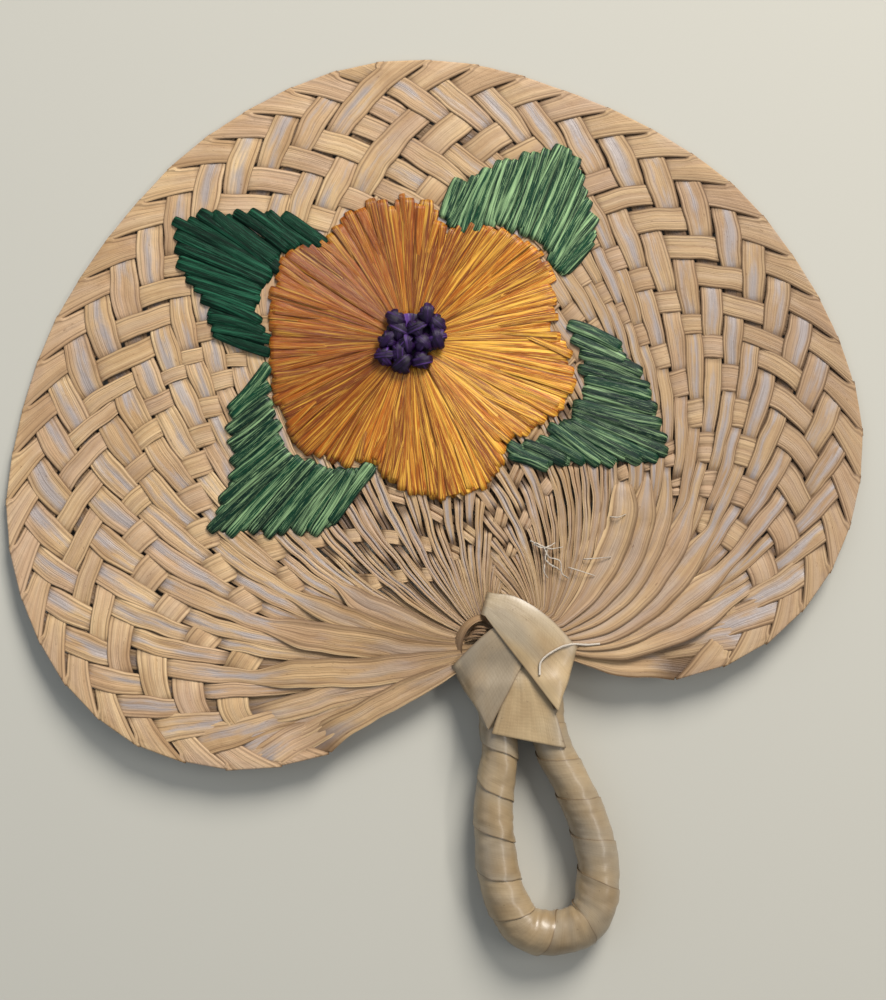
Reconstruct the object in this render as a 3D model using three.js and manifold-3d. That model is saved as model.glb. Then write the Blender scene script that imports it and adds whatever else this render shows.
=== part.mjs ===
import * as THREE from 'three';
import Module from 'manifold-3d';
import { mergeVertices } from 'three/addons/utils/BufferGeometryUtils.js';

// A plaited palm-leaf hand fan with a looped handle and an embroidered flower.
// Millimetres, +Z up, the fan face up and the handle towards -Y. The throat, where every
// strip of leaf gathers, is the point that the sizes below are measured from.

// Blade
const bladeWidth = 302;
const bladeLength = 243;
const stripCount = 44;
const stripWidth = 9.2;
const stripThickness = 0.35;
const stripClearance = 0.3;
const weaveGap = 1.5;
const throatLift = 9.5;
const seamLean = 0.16;

// Gathered stalks that the strips spring from
const gatherHalfWidth = 21;
const gatherHalfLength = 17;
const gatherShoulder = 10.9;
const gatherCrown = 3.4;

// Handle loop, its core and the ribbon wound on it
const loopWidth = 35;
const loopLength = 103;
const legDiameter = 12.8;
const bendDiameter = 15.6;
const wrapThickness = 0.8;
const wrapShingle = 0.7;
const wrapTurns = 11;
const wrapEdgeGap = 1.2;

// Knot bands folded over the gathered stalks
const bandThickness = 0.8;

// Embroidery
const flowerRadius = 61;
const flowerCentreX = -0.093 * bladeWidth;
const flowerCentreY = 0.444 * bladeLength;
const stitchThickness = 1.3;
const knotStitchRadius = 3.2;
const threadDiameter = 0.9;

// Clearance between pieces that touch
const seat = 0.3;

const wasm = await Module();
wasm.setup();

const degree = Math.PI / 180;
const fan = new THREE.Group();

function addPiece(name, geometry, color, roughness, metalness = 0) {
  const mesh = new THREE.Mesh(geometry, new THREE.MeshStandardMaterial({ color, roughness, metalness }));
  mesh.name = name;
  fan.add(mesh);
  return mesh;
}

// Outline points are written in hundredths of a width and a length.
const scaled = (pairs, width, length) =>
  pairs.map(([x, y]) => new THREE.Vector3((x * width) / 100, (y * length) / 100, 0));

const smoothStep = THREE.MathUtils.smoothstep;

// A closed body from rings of points that all have the same number of points.
function loftRings(rings) {
  const count = rings[0].length;
  const positions = rings.flat().flatMap((p) => [p.x, p.y, p.z]);
  const faces = [];
  for (let ring = 0; ring + 1 < rings.length; ring++) {
    for (let k = 0; k < count; k++) {
      const a = ring * count + k;
      const b = ring * count + ((k + 1) % count);
      faces.push(a, b, b + count, a, b + count, a + count);
    }
  }
  // Each end is closed in steps between its two faces, which also suits a bent section.
  const last = (rings.length - 1) * count;
  for (let low = 0, high = count - 1; high - low > 1; low++, high--) {
    const closing = [[low, low + 1, high]];
    if (high - low > 2) closing.push([low + 1, high - 1, high]);
    for (const [a, b, c] of closing) faces.push(a, c, b, last + a, last + b, last + c);
  }
  return facingOut(positions, faces);
}

// Turns the faces round where they enclose a negative volume.
function facingOut(positions, faces) {
  let volume = 0;
  const corner = (n) => new THREE.Vector3().fromArray(positions, n * 3);
  for (let k = 0; k < faces.length; k += 3) {
    volume += corner(faces[k]).dot(corner(faces[k + 1]).cross(corner(faces[k + 2])));
  }
  if (volume < 0) faces.reverse();
  const geometry = new THREE.BufferGeometry();
  geometry.setAttribute('position', new THREE.Float32BufferAttribute(positions, 3));
  geometry.setIndex(faces);
  geometry.computeVertexNormals();
  return geometry;
}

// Rim of the blade, clockwise from the left of the throat to its right.
const rimShape = [
  [-7.3, -3.7], [-13.9, -9.5], [-20.2, -12.8], [-27.2, -14.8], [-34.1, -14.8], [-44.4, -10.3],
  [-52, -1.2], [-56.6, 11.5], [-57.8, 24.7], [-55.6, 37.4], [-51.7, 49], [-46.4, 58.8], [-39.4, 68.3],
  [-31.8, 75.9], [-20.5, 82.7], [-10.3, 85.2], [0, 84], [10.6, 79.2], [21.2, 72], [30.5, 62.3],
  [37.4, 49.4], [41.4, 36.2], [42.4, 25.5], [40.1, 13.2], [35.4, 3.7], [28.5, -3.3], [19.9, -6.8],
  [12.6, -5.8], [7, -2.1],
];
const rim = new THREE.CatmullRomCurve3(scaled(rimShape, bladeWidth, bladeLength), false, 'centripetal');
rim.arcLengthDivisions = 1000;

// The blade rests on the upper part of its rim, which is close to a circle, and rises
// along every ray towards the throat. The two lobes beside the handle stay up.
const restCentre = new THREE.Vector2(-0.073 * bladeWidth, 0.247 * bladeLength);
const restRadius = 0.483 * bladeWidth;
function lift(x, y) {
  const distance = Math.hypot(x, y);
  if (distance === 0) return throatLift;
  const along = (x * restCentre.x + y * restCentre.y) / distance;
  const reach = along + Math.sqrt(along * along - restCentre.lengthSq() + restRadius * restRadius);
  const fall = smoothStep(y / distance, -0.25, 0.6);
  const share = Math.min(distance / reach, 1);
  return throatLift - (throatLift - stripThickness / 2) * fall * share;
}

// Every strip leaves the gather on the left, folds over at the rim and comes back on the
// right. Leg 'out' runs to the left side's roots and leg 'back' to the right side's.
const rimFirst = 0.075;
const rimLast = 0.945;
const sweepFirst = 1.2;
const sweepLast = 112;
const crossLean = 45;
const rimAngle = 45;
const legSamples = 90;

function makeLeg(order, side) {
  const share = order / (stripCount - 1);
  const own = side < 0 ? 1 - share : share;
  const sweep = (sweepFirst + (sweepLast - sweepFirst) * own) * degree;
  const root = new THREE.Vector3(
    side * gatherHalfWidth * Math.sin(sweep), gatherHalfLength * Math.cos(sweep), 0);
  const heading = sweep - crossLean * degree * (1 - own) ** 2;
  const leave = new THREE.Vector3(side * Math.sin(heading), Math.cos(heading), 0);
  const place = rimFirst + (rimLast - rimFirst) * share;
  const tangent = rim.getTangentAt(place);
  const outward = new THREE.Vector3(-tangent.y, tangent.x, 0);
  const end = rim.getPointAt(place).addScaledVector(outward, -foldReach);
  const arrive = tangent.clone().multiplyScalar(-side * Math.cos(rimAngle * degree))
    .addScaledVector(outward, Math.sin(rimAngle * degree));
  const distance = end.distanceTo(root);
  const crossing = (1 - own) ** 2;
  const curve = new THREE.CubicBezierCurve3(
    root,
    root.clone().addScaledVector(leave, distance * (0.3 + 0.25 * crossing)),
    end.clone().addScaledVector(arrive, -distance * (0.28 + 0.55 * crossing)),
    end);
  curve.arcLengthDivisions = 400;
  return {
    order, side, curve, tangent, outward, end,
    length: curve.getLength(),
    points: curve.getSpacedPoints(legSamples),
    crossings: [],
  };
}

// One strip over or under another differs in height by this much.
const levelStep = stripThickness + stripClearance;
const foldReach = (levelStep + stripThickness) / 2;

const outLegs = [];
const backLegs = [];
for (let order = 0; order < stripCount; order++) {
  outLegs.push(makeLeg(order, -1));
  backLegs.push(makeLeg(order, 1));
}

// Shortest distance from a point to a line through points, in plan.
function distanceToPath(point, path) {
  let best = Infinity;
  for (let k = 0; k + 1 < path.length; k++) {
    const a = path[k];
    const b = path[k + 1];
    const dx = b.x - a.x;
    const dy = b.y - a.y;
    const along = ((point.x - a.x) * dx + (point.y - a.y) * dy) / (dx * dx + dy * dy);
    const t = THREE.MathUtils.clamp(along, 0, 1);
    best = Math.min(best, Math.hypot(point.x - a.x - t * dx, point.y - a.y - t * dy));
  }
  return best;
}

// Half widths to the left and right of a leg: the strip fills the pitch to its neighbour
// but for the gap that a crossing strip needs to pass from one face to the other.
const narrowShare = 0.56;
function halfWidth(pitch) {
  return Math.min(stripWidth, Math.max(pitch - weaveGap, pitch * narrowShare)) / 2;
}
for (const family of [outLegs, backLegs]) {
  for (const leg of family) {
    const before = family[leg.order - 1];
    const after = family[leg.order + 1];
    leg.pitch = leg.points.map((point) => {
      const left = before ? distanceToPath(point, before.points) : Infinity;
      const right = after ? distanceToPath(point, after.points) : Infinity;
      return { left: Math.min(left, right * 1.5), right: Math.min(right, left * 1.5) };
    });
  }
}

function sampleAt(leg, s) {
  const t = THREE.MathUtils.clamp(s / leg.length, 0, 1) * legSamples;
  const k = Math.min(Math.floor(t), legSamples - 1);
  return { k, mix: t - k };
}
function pitchAt(leg, s) {
  const { k, mix } = sampleAt(leg, s);
  const a = leg.pitch[k];
  const b = leg.pitch[k + 1];
  return {
    left: a.left + (b.left - a.left) * mix,
    right: a.right + (b.right - a.right) * mix,
  };
}
const pointAt = (leg, s) => leg.curve.getPointAt(THREE.MathUtils.clamp(s / leg.length, 0, 1));
const directionAt = (leg, s) => leg.curve.getTangentAt(THREE.MathUtils.clamp(s / leg.length, 0, 1));

// Where two legs cross in plan, as lengths along each.
function crossingOf(a, b) {
  const step = 1 / legSamples;
  for (let m = 0; m < legSamples; m++) {
    const p = a.points[m];
    const px = a.points[m + 1].x - p.x;
    const py = a.points[m + 1].y - p.y;
    for (let n = 0; n < legSamples; n++) {
      const q = b.points[n];
      const qx = b.points[n + 1].x - q.x;
      const qy = b.points[n + 1].y - q.y;
      const cross = px * qy - py * qx;
      if (cross === 0) continue;
      const t = ((q.x - p.x) * qy - (q.y - p.y) * qx) / cross;
      if (t < 0 || t >= 1) continue;
      const u = ((q.x - p.x) * py - (q.y - p.y) * px) / cross;
      if (u < 0 || u >= 1) continue;
      return { onA: (m + t) * step * a.length, onB: (n + u) * step * b.length };
    }
  }
  return null;
}

// Left of the seam the outgoing legs are the rays and the returning legs the wefts, and
// right of it the reverse. Rays stay at mid height and wefts pass over or under them.
const seamBlend = 9;
const openPitch = 2.9;
const seamDistance = (x, y) => (x + seamLean * y) / Math.hypot(1, seamLean);

// Twill: near the rim a weft goes over two rays and under two, so the ribs follow the
// rim. Further in it shows over one ray in four.
const rimTwillDepth = 12;
function weftIsOver(outOrder, backOrder) {
  const depth = outOrder - backOrder;
  if (depth <= rimTwillDepth) return depth % 4 === 1 || depth % 4 === 2;
  return (outOrder + backOrder) % 4 === 0;
}

for (const out of outLegs) {
  for (const back of backLegs.slice(0, out.order)) {
    const found = crossingOf(out, back);
    if (!found) continue;
    const place = pointAt(out, found.onA);
    const past = seamDistance(place.x, place.y);
    const ray = past < 0 ? out : back;
    const rayPitch = pitchAt(ray, ray === out ? found.onA : found.onB);
    const open = Math.min(rayPitch.left, rayPitch.right) >= openPitch;
    const blended = !open && Math.abs(past) < seamBlend;
    let outLevel = 0;
    let backLevel = 0;
    if (open) {
      const weftLevel = weftIsOver(out.order, back.order) ? levelStep : -levelStep;
      if (ray === out) backLevel = weftLevel;
      else outLevel = weftLevel;
    } else {
      const share = smoothStep(past, -seamBlend, seamBlend);
      outLevel = -levelStep * share;
      backLevel = levelStep * (1 - share);
    }
    out.crossings.push({ s: found.onA, other: back, otherS: found.onB, level: outLevel, blended });
    back.crossings.push({ s: found.onB, other: out, otherS: found.onA, level: backLevel, blended });
  }
}

// A crossing takes a stretch of the leg: the width of the other strip and room beside it.
const riseRoom = 0.48;
function stretchOf(leg, crossing) {
  const along = directionAt(leg, crossing.s);
  const other = directionAt(crossing.other, crossing.otherS);
  const normal = new THREE.Vector3(-along.y, along.x, 0);
  const across = other.dot(normal);
  const pitch = pitchAt(crossing.other, crossing.otherS);
  const left = (halfWidth(pitch.left) + riseRoom) / Math.abs(across);
  const right = (halfWidth(pitch.right) + riseRoom) / Math.abs(across);
  const slant = THREE.MathUtils.clamp(other.dot(along) / across, -0.9, 0.9);
  const leftAhead = -other.y * along.x + other.x * along.y > 0;
  return {
    from: crossing.s - (leftAhead ? right : left),
    to: crossing.s + (leftAhead ? left : right),
    centre: crossing.s,
    level: crossing.level,
    blended: crossing.blended,
    slant,
  };
}

// Sections of a leg from root to rim: pairs where it changes level, and others between
// them where it runs on.
const sectionSpacing = 17.5;
const leastRise = 0.35;
const creaseRoom = 0.8;
function sectionsOf(leg, foldLevel) {
  leg.crossings.sort((a, b) => a.s - b.s);
  const stretches = leg.crossings.map((crossing) => stretchOf(leg, crossing));
  const first = stretches[0];
  const root = leg.points[0];
  const share = smoothStep(seamDistance(root.x, root.y), -seamBlend, seamBlend);
  const rootLevel = leg.side < 0 ? -levelStep * share : levelStep * (1 - share);
  const sections = [{ s: 0, level: rootLevel, slant: 0 }];
  let last = { to: 0, level: rootLevel, slant: 0 };
  const foldSlant = leg.side / Math.tan(rimAngle * degree);
  const crease = leg.length - (stripWidth / 2) * Math.abs(foldSlant) - creaseRoom;
  const all = first ? [...stretches, { from: crease, to: leg.length, level: foldLevel, slant: 0 }] : [];
  for (const next of all) {
    const change = Math.abs(next.level - last.level);
    if (change > 0.01) {
      const abrupt = change > levelStep / 2;
      let from = last.blended && !abrupt ? last.centre : last.to;
      let to = next.blended && !abrupt ? next.centre : next.from;
      if (to - from < leastRise) {
        const middle = (from + to) / 2;
        from = middle - leastRise / 2;
        to = middle + leastRise / 2;
      }
      const previous = sections[sections.length - 1];
      if (from > previous.s + 0.2) sections.push({ s: from, level: last.level, slant: last.slant });
      sections.push({ s: Math.max(to, previous.s + 0.4), level: next.level, slant: next.slant });
    }
    last = next;
  }
  sections.push({ s: leg.length, level: foldLevel, slant: foldSlant, fold: true });
  const filled = [sections[0]];
  for (const section of sections.slice(1)) {
    const previous = filled[filled.length - 1];
    const end = section.fold ? crease : section.s;
    const parts = Math.floor((end - previous.s) / sectionSpacing + 0.5);
    for (let k = 1; k < parts; k++) {
      const mix = k / parts;
      filled.push({
        s: previous.s + (end - previous.s) * mix,
        level: previous.level + (section.level - previous.level) * mix,
        slant: 0,
      });
    }
    filled.push(section);
  }
  return filled;
}

// The four corners of a strip at a section, the face that is outside at the fold first.
function ringAt(leg, section, outerSign) {
  const centre = pointAt(leg, section.s);
  const along = directionAt(leg, section.s);
  const reachOver = new THREE.Vector3(-along.y, along.x, 0).addScaledVector(along, section.slant);
  const pitch = pitchAt(leg, section.s);
  const left = centre.clone().addScaledVector(reachOver, halfWidth(pitch.left));
  const right = centre.clone().addScaledVector(reachOver, -halfWidth(pitch.right));
  const corner = (point, sign) =>
    new THREE.Vector3(point.x, point.y, lift(point.x, point.y) + section.level + (sign * stripThickness) / 2);
  return [corner(left, outerSign), corner(right, outerSign), corner(right, -outerSign), corner(left, -outerSign)];
}

// The turned edge at the rim, a half turn from the one leg's level to the other's.
function foldRings(leg, outLevel, backLevel, outerSign) {
  const pitch = pitchAt(leg, leg.length);
  const corners = [halfWidth(pitch.left), -halfWidth(pitch.right)]
    .map((half) => leg.end.clone().addScaledVector(leg.tangent, -half / Math.sin(rimAngle * degree)));
  const middle = (outLevel + backLevel) / 2;
  const outer = (Math.abs(backLevel - outLevel) + stripThickness) / 2;
  const inner = outer - stripThickness;
  return [60, 120].map((turn) => {
    const point = (corner, radius) => {
      const moved = corner.clone().addScaledVector(leg.outward, radius * Math.sin(turn * degree));
      moved.z = lift(corner.x, corner.y) + middle + outerSign * radius * Math.cos(turn * degree);
      return moved;
    };
    const [a, b] = corners;
    return [point(a, outer), point(b, outer), point(b, inner), point(a, inner)];
  });
}

function stripGeometry(order) {
  const out = outLegs[order];
  const back = backLegs[order];
  const rimLevel = (leg) => {
    const nearest = leg.crossings.reduce((best, c) => (c.s > best.s ? c : best), { s: -1, level: 0 });
    return nearest.level;
  };
  const outLevel = rimLevel(out);
  let backLevel = rimLevel(back);
  if (Math.abs(outLevel - backLevel) < levelStep * 0.9) backLevel = outLevel + levelStep;
  const outerSign = outLevel < backLevel ? -1 : 1;
  const rings = sectionsOf(out, outLevel).map((section) => ringAt(out, section, outerSign));
  rings.push(...foldRings(out, outLevel, backLevel, outerSign));
  const returning = sectionsOf(back, backLevel).map((section) => ringAt(back, section, -outerSign));
  rings.push(...returning.reverse());
  return loftRings(rings);
}

const palmLeaf = '#c8a578';
for (let order = 0; order < stripCount; order++) {
  const number = String(order + 1).padStart(2, '0');
  addPiece(`leaf_strip_${number}`, stripGeometry(order), palmLeaf, 0.62);
}

// Gathered stalks: an oval bundle, flat below and crowned on top, that the strips spring
// from all round its upper side.
const bandPitch = bandThickness + seat;
const crownRings = [0.8, 0.55, 0.25];
const ovalPoints = 28;
function oval(share, z) {
  return Array.from({ length: ovalPoints }, (_, k) => {
    const turn = (k / ovalPoints) * 2 * Math.PI;
    return new THREE.Vector3(
      (gatherHalfWidth - seat) * share * Math.cos(turn),
      (gatherHalfLength - seat) * share * Math.sin(turn),
      z);
  });
}
const gatherTop = (share) => gatherShoulder + gatherCrown * (1 - share * share);
addPiece('gathered_stalks', loftRings([
  oval(1, bandPitch),
  oval(1, gatherShoulder),
  ...crownRings.map((share) => oval(share, gatherTop(share))),
]), '#8a6a44', 0.8);

// Handle loop: a teardrop in plan, both ends against the gathered stalks.
const legSpread = 25;
const loopShape = [
  [-legSpread, -17], [-legSpread, -38], [-34, -52], [-37, -66], [-34, -82], [-17, -96], [13, -100],
  [50, -96], [63, -83], [62, -70], [48, -53], [30, -38], [legSpread, -29], [legSpread, -17],
];
const loopPoints = scaled(loopShape, loopWidth, loopLength);
loopPoints[0].y = -gatherHalfLength;
loopPoints[loopPoints.length - 1].y = -gatherHalfLength;
const loop = new THREE.CatmullRomCurve3(loopPoints, false, 'centripetal');
loop.arcLengthDivisions = 600;
const loopRun = loop.getLength();
const up = new THREE.Vector3(0, 0, 1);

const handleRadiusAt = (share) =>
  (legDiameter + (bendDiameter - legDiameter) * Math.sin(Math.PI * share) ** 2) / 2;
function onLoop(share, turn, depth) {
  const t = THREE.MathUtils.clamp(share, 0, 1);
  const side = loop.getTangentAt(t).cross(up);
  const radius = handleRadiusAt(t) - depth;
  return loop.getPointAt(t)
    .addScaledVector(side, radius * Math.cos(turn))
    .addScaledVector(up, radius * Math.sin(turn) + bendDiameter / 2);
}

const coreSides = 8;
const coreSteps = 40;
const coreDepth = wrapThickness + wrapShingle + 2 * seat;
const coreRings = Array.from({ length: coreSteps + 1 }, (_, step) =>
  Array.from({ length: coreSides }, (_, k) =>
    onLoop(step / coreSteps, (k / coreSides) * 2 * Math.PI, coreDepth)));
addPiece('handle_core', loftRings(coreRings), '#7b5c38', 0.8);

// The ribbon: one unbroken helix round the core, each turn's later edge standing proud
// like a shingle.
const turnSteps = 18;
const wrapStart = 0.035;
const wrapPitch = (1 - 2 * wrapStart) / (wrapTurns + 1);
const wrapHalf = (wrapPitch - wrapEdgeGap / loopRun) / 2;
const wrapSection = [[-1, 1], [0, 0.5], [1, 0]];
function wrapRing(step) {
  const turn = (step / turnSteps) * 2 * Math.PI;
  const middle = wrapStart + wrapPitch * (0.5 + step / turnSteps);
  const point = ([across, tuck], thickness) =>
    onLoop(middle + across * wrapHalf, turn, tuck * wrapShingle + thickness);
  return [
    ...wrapSection.map((edge) => point(edge, wrapThickness)),
    ...wrapSection.map((edge) => point(edge, 0)).reverse(),
  ];
}
const wrapRings = Array.from({ length: wrapTurns * turnSteps + 1 }, (_, step) => wrapRing(step));
addPiece('handle_wrap', loftRings(wrapRings), '#a58c69', 0.45);

// Least gap between one turn of the ribbon and any other, on its points.
let wrapSelfGap = Infinity;
wrapRings.forEach((ring, step) => {
  for (const other of wrapRings.slice(step + turnSteps / 2)) {
    for (const p of ring) {
      for (const q of other) wrapSelfGap = Math.min(wrapSelfGap, p.distanceTo(q));
    }
  }
});
console.log(`handle_wrap: least gap to itself ${wrapSelfGap.toFixed(2)} mm`);

// Knot bands: broad ribbons folded over the gathered stalks and the tops of the legs.
const legsReach = 1.2 * (legSpread * loopWidth) / 100;
const bandCamber = 0.6;
const camberReach = 1.2 * gatherHalfWidth;
// Beyond this share of a leg's radius a band goes straight on down its flank.
const steepestFlank = 0.8;
function knotFront(x, y, offset) {
  const share = (x / gatherHalfWidth) ** 2 + (y / gatherHalfLength) ** 2;
  const crown = gatherShoulder + gatherCrown * Math.max(1 - share, 0) + offset;
  const beside = Math.max(Math.abs(x) - legsReach, 0);
  const radius = legDiameter / 2 + offset + seat;
  const round = bandCamber * (1 - (x * x + (y + gatherHalfLength) ** 2) / camberReach ** 2);
  const flank = Math.min(beside / radius, steepestFlank);
  const rise = Math.sqrt(1 - flank * flank);
  const leg = bendDiameter / 2 + radius * rise - (beside - flank * radius) * flank / rise + round;
  return crown + (leg - crown) * smoothStep(-y, 5, 15);
}
const layerOffset = (layer) => seat + bandThickness / 2 + layer * bandPitch;

// A band between two rails, in hundredths of the gather's half width and half length.
// The lowest band comes first and each further one lies a layer higher.
const bandSteps = 9;
const bandAcross = 4;
function bandGeometry(railA, railB, layer) {
  const offset = layerOffset(layer);
  const rails = [railA, railB].map((points) =>
    new THREE.CatmullRomCurve3(scaled(points, gatherHalfWidth, gatherHalfLength), false, 'centripetal'));
  const grid = Array.from({ length: bandSteps + 1 }, (_, step) =>
    Array.from({ length: bandAcross + 1 }, (_, across) => {
      const [a, b] = rails.map((rail) => rail.getPoint(step / bandSteps));
      const point = a.lerp(b, across / bandAcross);
      return point.setZ(knotFront(point.x, point.y, offset));
    }));
  const normal = (step, across) => {
    const before = grid[Math.max(step - 1, 0)][across];
    const after = grid[Math.min(step + 1, bandSteps)][across];
    const left = grid[step][Math.max(across - 1, 0)];
    const right = grid[step][Math.min(across + 1, bandAcross)];
    const face = after.clone().sub(before).cross(right.clone().sub(left)).normalize();
    return face.z < 0 ? face.negate() : face;
  };
  const half = bandThickness / 2;
  return loftRings(grid.map((row, step) => {
    const above = row.map((point, across) => point.clone().addScaledVector(normal(step, across), half));
    const below = row.map((point, across) => point.clone().addScaledVector(normal(step, across), -half));
    return [...above, ...below.reverse()];
  }));
}

const raffia = '#a58c69';
const knotBands = {
  centre: [
    [[-14, -41], [-29, -106], [-52, -179]],
    [[24, -41], [48, -118], [67, -221]],
  ],
  left: [
    [[5, 53], [-37, 33], [-76, -3], [-105, -35]],
    [[29, -6], [7, -46], [-19, -97], [-57, -171]],
  ],
  right: [
    [[-33, 104], [5, 92], [57, 45], [97, -16]],
    [[-47, 59], [-17, 0], [19, -68], [58, -143]],
  ],
};
Object.entries(knotBands).forEach(([side, [railA, railB]], layer) => {
  addPiece(`knot_band_${side}`, bandGeometry(railA, railB, layer), raffia, 0.5);
});

// The back band lies flat under the knot and is what the handle end rests on.
const backOutline = scaled([
  [-60, 62], [60, 62], [88, 10], [62, -100], [20, -150], [-20, -150], [-62, -100], [-88, 10],
], gatherHalfWidth, gatherHalfLength);
const backBand = new THREE.ExtrudeGeometry(new THREE.Shape(backOutline), {
  depth: bandThickness, bevelEnabled: false,
});
addPiece('knot_band_back', backBand, raffia, 0.5);

// Embroidery lies on the highest strips and follows the blade's slope.
const bladeTop = levelStep + stripThickness / 2 + seat;
function onBlade(positions, base) {
  for (const point of positions) point.z += base + lift(point.x, point.y);
  return positions;
}
const padEdge = 0.35;
const padUnder = [0.5, 1];
const padOver = [1, 0.88, 0.6, 0.25];
function padGeometry(outline, centre) {
  const place = (point, share, z) => new THREE.Vector3(
    centre.x + (point.x - centre.x) * share, centre.y + (point.y - centre.y) * share, z);
  const crown = (share) => padEdge + (stitchThickness - padEdge) * Math.sqrt(1 - share ** 4);
  const rings = padUnder.map((share) => outline.map((p) => place(p, share, 0)));
  rings.push(...padOver.map((share) => outline.map((p) => place(p, share, crown(share)))));
  return loftRings(rings.map((ring) => onBlade(ring, bladeTop)));
}

// Petals: reach of the flower's edge from its centre, in hundredths of its radius, at
// each of these angles in degrees.
const petalEdge = [
  [1, 84], [12, 90], [25, 93], [40, 88], [55, 81], [66, 67], [78, 82], [94, 87], [112, 84], [125, 76],
  [137, 90], [158, 86], [178, 82], [-160, 87], [-138, 91], [-122, 82], [-111, 75], [-98, 88], [-82, 95],
  [-66, 97], [-51, 81], [-37, 92], [-20, 101], [-8, 92],
];
const flowerCentre = new THREE.Vector3(flowerCentreX, flowerCentreY, 0);
const petalPoints = 48;
function petalOutline() {
  const points = petalEdge.map(([angle, reach]) => {
    const radius = (reach * flowerRadius) / 100;
    return new THREE.Vector3(
      flowerCentre.x + radius * Math.cos(angle * degree),
      flowerCentre.y + radius * Math.sin(angle * degree), 0);
  });
  return new THREE.CatmullRomCurve3(points, true, 'centripetal').getSpacedPoints(petalPoints).slice(0, -1);
}
addPiece('flower_petals', padGeometry(petalOutline(), flowerCentre), '#d08428', 0.35);

function solidOf(geometry) {
  const bare = new THREE.BufferGeometry();
  bare.setAttribute('position', geometry.getAttribute('position'));
  bare.setIndex(geometry.getIndex());
  const merged = mergeVertices(bare, 1e-4);
  return new wasm.Manifold(new wasm.Mesh({
    numProp: 3,
    vertProperties: new Float32Array(merged.getAttribute('position').array),
    triVerts: new Uint32Array(merged.getIndex().array),
  }));
}
function geometryOf(solid) {
  const mesh = solid.getMesh();
  const geometry = new THREE.BufferGeometry();
  geometry.setAttribute('position', new THREE.Float32BufferAttribute(mesh.vertProperties, 3));
  geometry.setIndex([...mesh.triVerts]);
  geometry.computeVertexNormals();
  return geometry;
}

// Leaves: reach of each leaf's outer edge from the flower's centre at each of these
// angles, from one end of the leaf to the other. Its inner edge follows the petals.
const leafEdges = {
  leaf_upper_left: [[124, 76], [127, 97], [135, 118], [143, 141], [147.5, 156], [157, 143], [162, 128],
    [169, 116], [176, 101], [180, 84]],
  leaf_upper_right: [[17, 84], [22, 113], [27, 127], [35, 139], [43.5, 147], [48, 142], [53, 130],
    [58, 114], [67, 94], [72, 76]],
  leaf_lower_left: [[185, 84], [195, 110], [207, 124], [218, 161], [223, 154], [228, 138], [238, 126],
    [243, 108], [247, 78]],
  leaf_lower_right: [[-55, 80], [-45, 113], [-33, 151], [-29.5, 165], [-22, 156], [-14, 140],
    [-6, 121], [1, 88]],
};
const leafSteps = 18;
const leafTip = 1.2;
const leafClearance = 0.9;
const petals = petalOutline();
function petalReach(direction) {
  for (let k = 0; k < petals.length; k++) {
    const a = petals[k].clone().sub(flowerCentre);
    const edge = petals[(k + 1) % petals.length].clone().sub(flowerCentre).sub(a);
    const across = direction.x * edge.y - direction.y * edge.x;
    const reach = (a.x * edge.y - a.y * edge.x) / across;
    const along = (a.x * direction.y - a.y * direction.x) / across;
    if (reach > 0 && along >= 0 && along <= 1) return reach;
  }
  return 0;
}
function reachAt(edge, angle) {
  const k = Math.max(edge.findIndex(([at]) => at >= angle), 1);
  const [[a, from], [b, to]] = [edge[k - 1], edge[k]];
  return ((from + ((to - from) * (angle - a)) / (b - a)) * flowerRadius) / 100;
}
function leafSection(edge, share) {
  const first = edge[0][0];
  const angle = first + (edge[edge.length - 1][0] - first) * share;
  const direction = new THREE.Vector3(Math.cos(angle * degree), Math.sin(angle * degree), 0);
  const inner = petalReach(direction) + leafClearance;
  const outer = Math.max(reachAt(edge, angle), inner + leafTip);
  const point = (across, z) =>
    direction.clone().multiplyScalar(inner + (outer - inner) * across).add(flowerCentre).setZ(z);
  return [
    point(0, 0), point(0.5, 0), point(1, 0), point(1, padEdge), point(0.5, stitchThickness),
    point(0, padEdge),
  ];
}
for (const [name, edge] of Object.entries(leafEdges)) {
  const sections = Array.from({ length: leafSteps + 1 }, (_, step) =>
    onBlade(leafSection(edge, step / leafSteps), bladeTop));
  addPiece(name, loftRings(sections), '#1f5a45', 0.4);
}

// The flower's eye: thirteen knotted stitches packed into one cluster, in hundredths of
// the radius of one of them, from the middle of the cluster.
const knotStitches = [
  [-176, 242], [198, 286], [297, 154], [99, 154], [-132, 110], [-242, 33], [77, 44], [-44, -44],
  [165, -22], [297, -11], [-308, -154], [-99, -264], [154, -209],
];
const clusterSize = 0.88;
const knotLevel = bladeTop + stitchThickness + seat;
const knotCentres = knotStitches.map(([x, y]) => new THREE.Vector3(x, y, 0)
  .multiplyScalar((knotStitchRadius * clusterSize) / 100).add(flowerCentre));
const cushion = new THREE.CylinderGeometry(knotStitchRadius * 2.6, knotStitchRadius * 2.6, knotStitchRadius * 0.5, 14)
  .rotateX(Math.PI / 2).translate(flowerCentre.x, flowerCentre.y, knotStitchRadius * 0.25);
let eye = solidOf(cushion);
for (const centre of knotCentres) {
  const bead = new THREE.IcosahedronGeometry(knotStitchRadius, 0).rotateZ(centre.x).rotateX(centre.y);
  bead.scale(1, 1, 0.8).translate(centre.x, centre.y, knotStitchRadius * 0.8);
  eye = eye.add(solidOf(bead));
}
const eyeGeometry = geometryOf(eye);
const eyePositions = eyeGeometry.getAttribute('position');
for (let k = 0; k < eyePositions.count; k++) {
  const height = lift(eyePositions.getX(k), eyePositions.getY(k));
  eyePositions.setZ(k, eyePositions.getZ(k) + height + knotLevel);
}
addPiece('flower_eye', eyeGeometry, '#33145c', 0.35);

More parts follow.
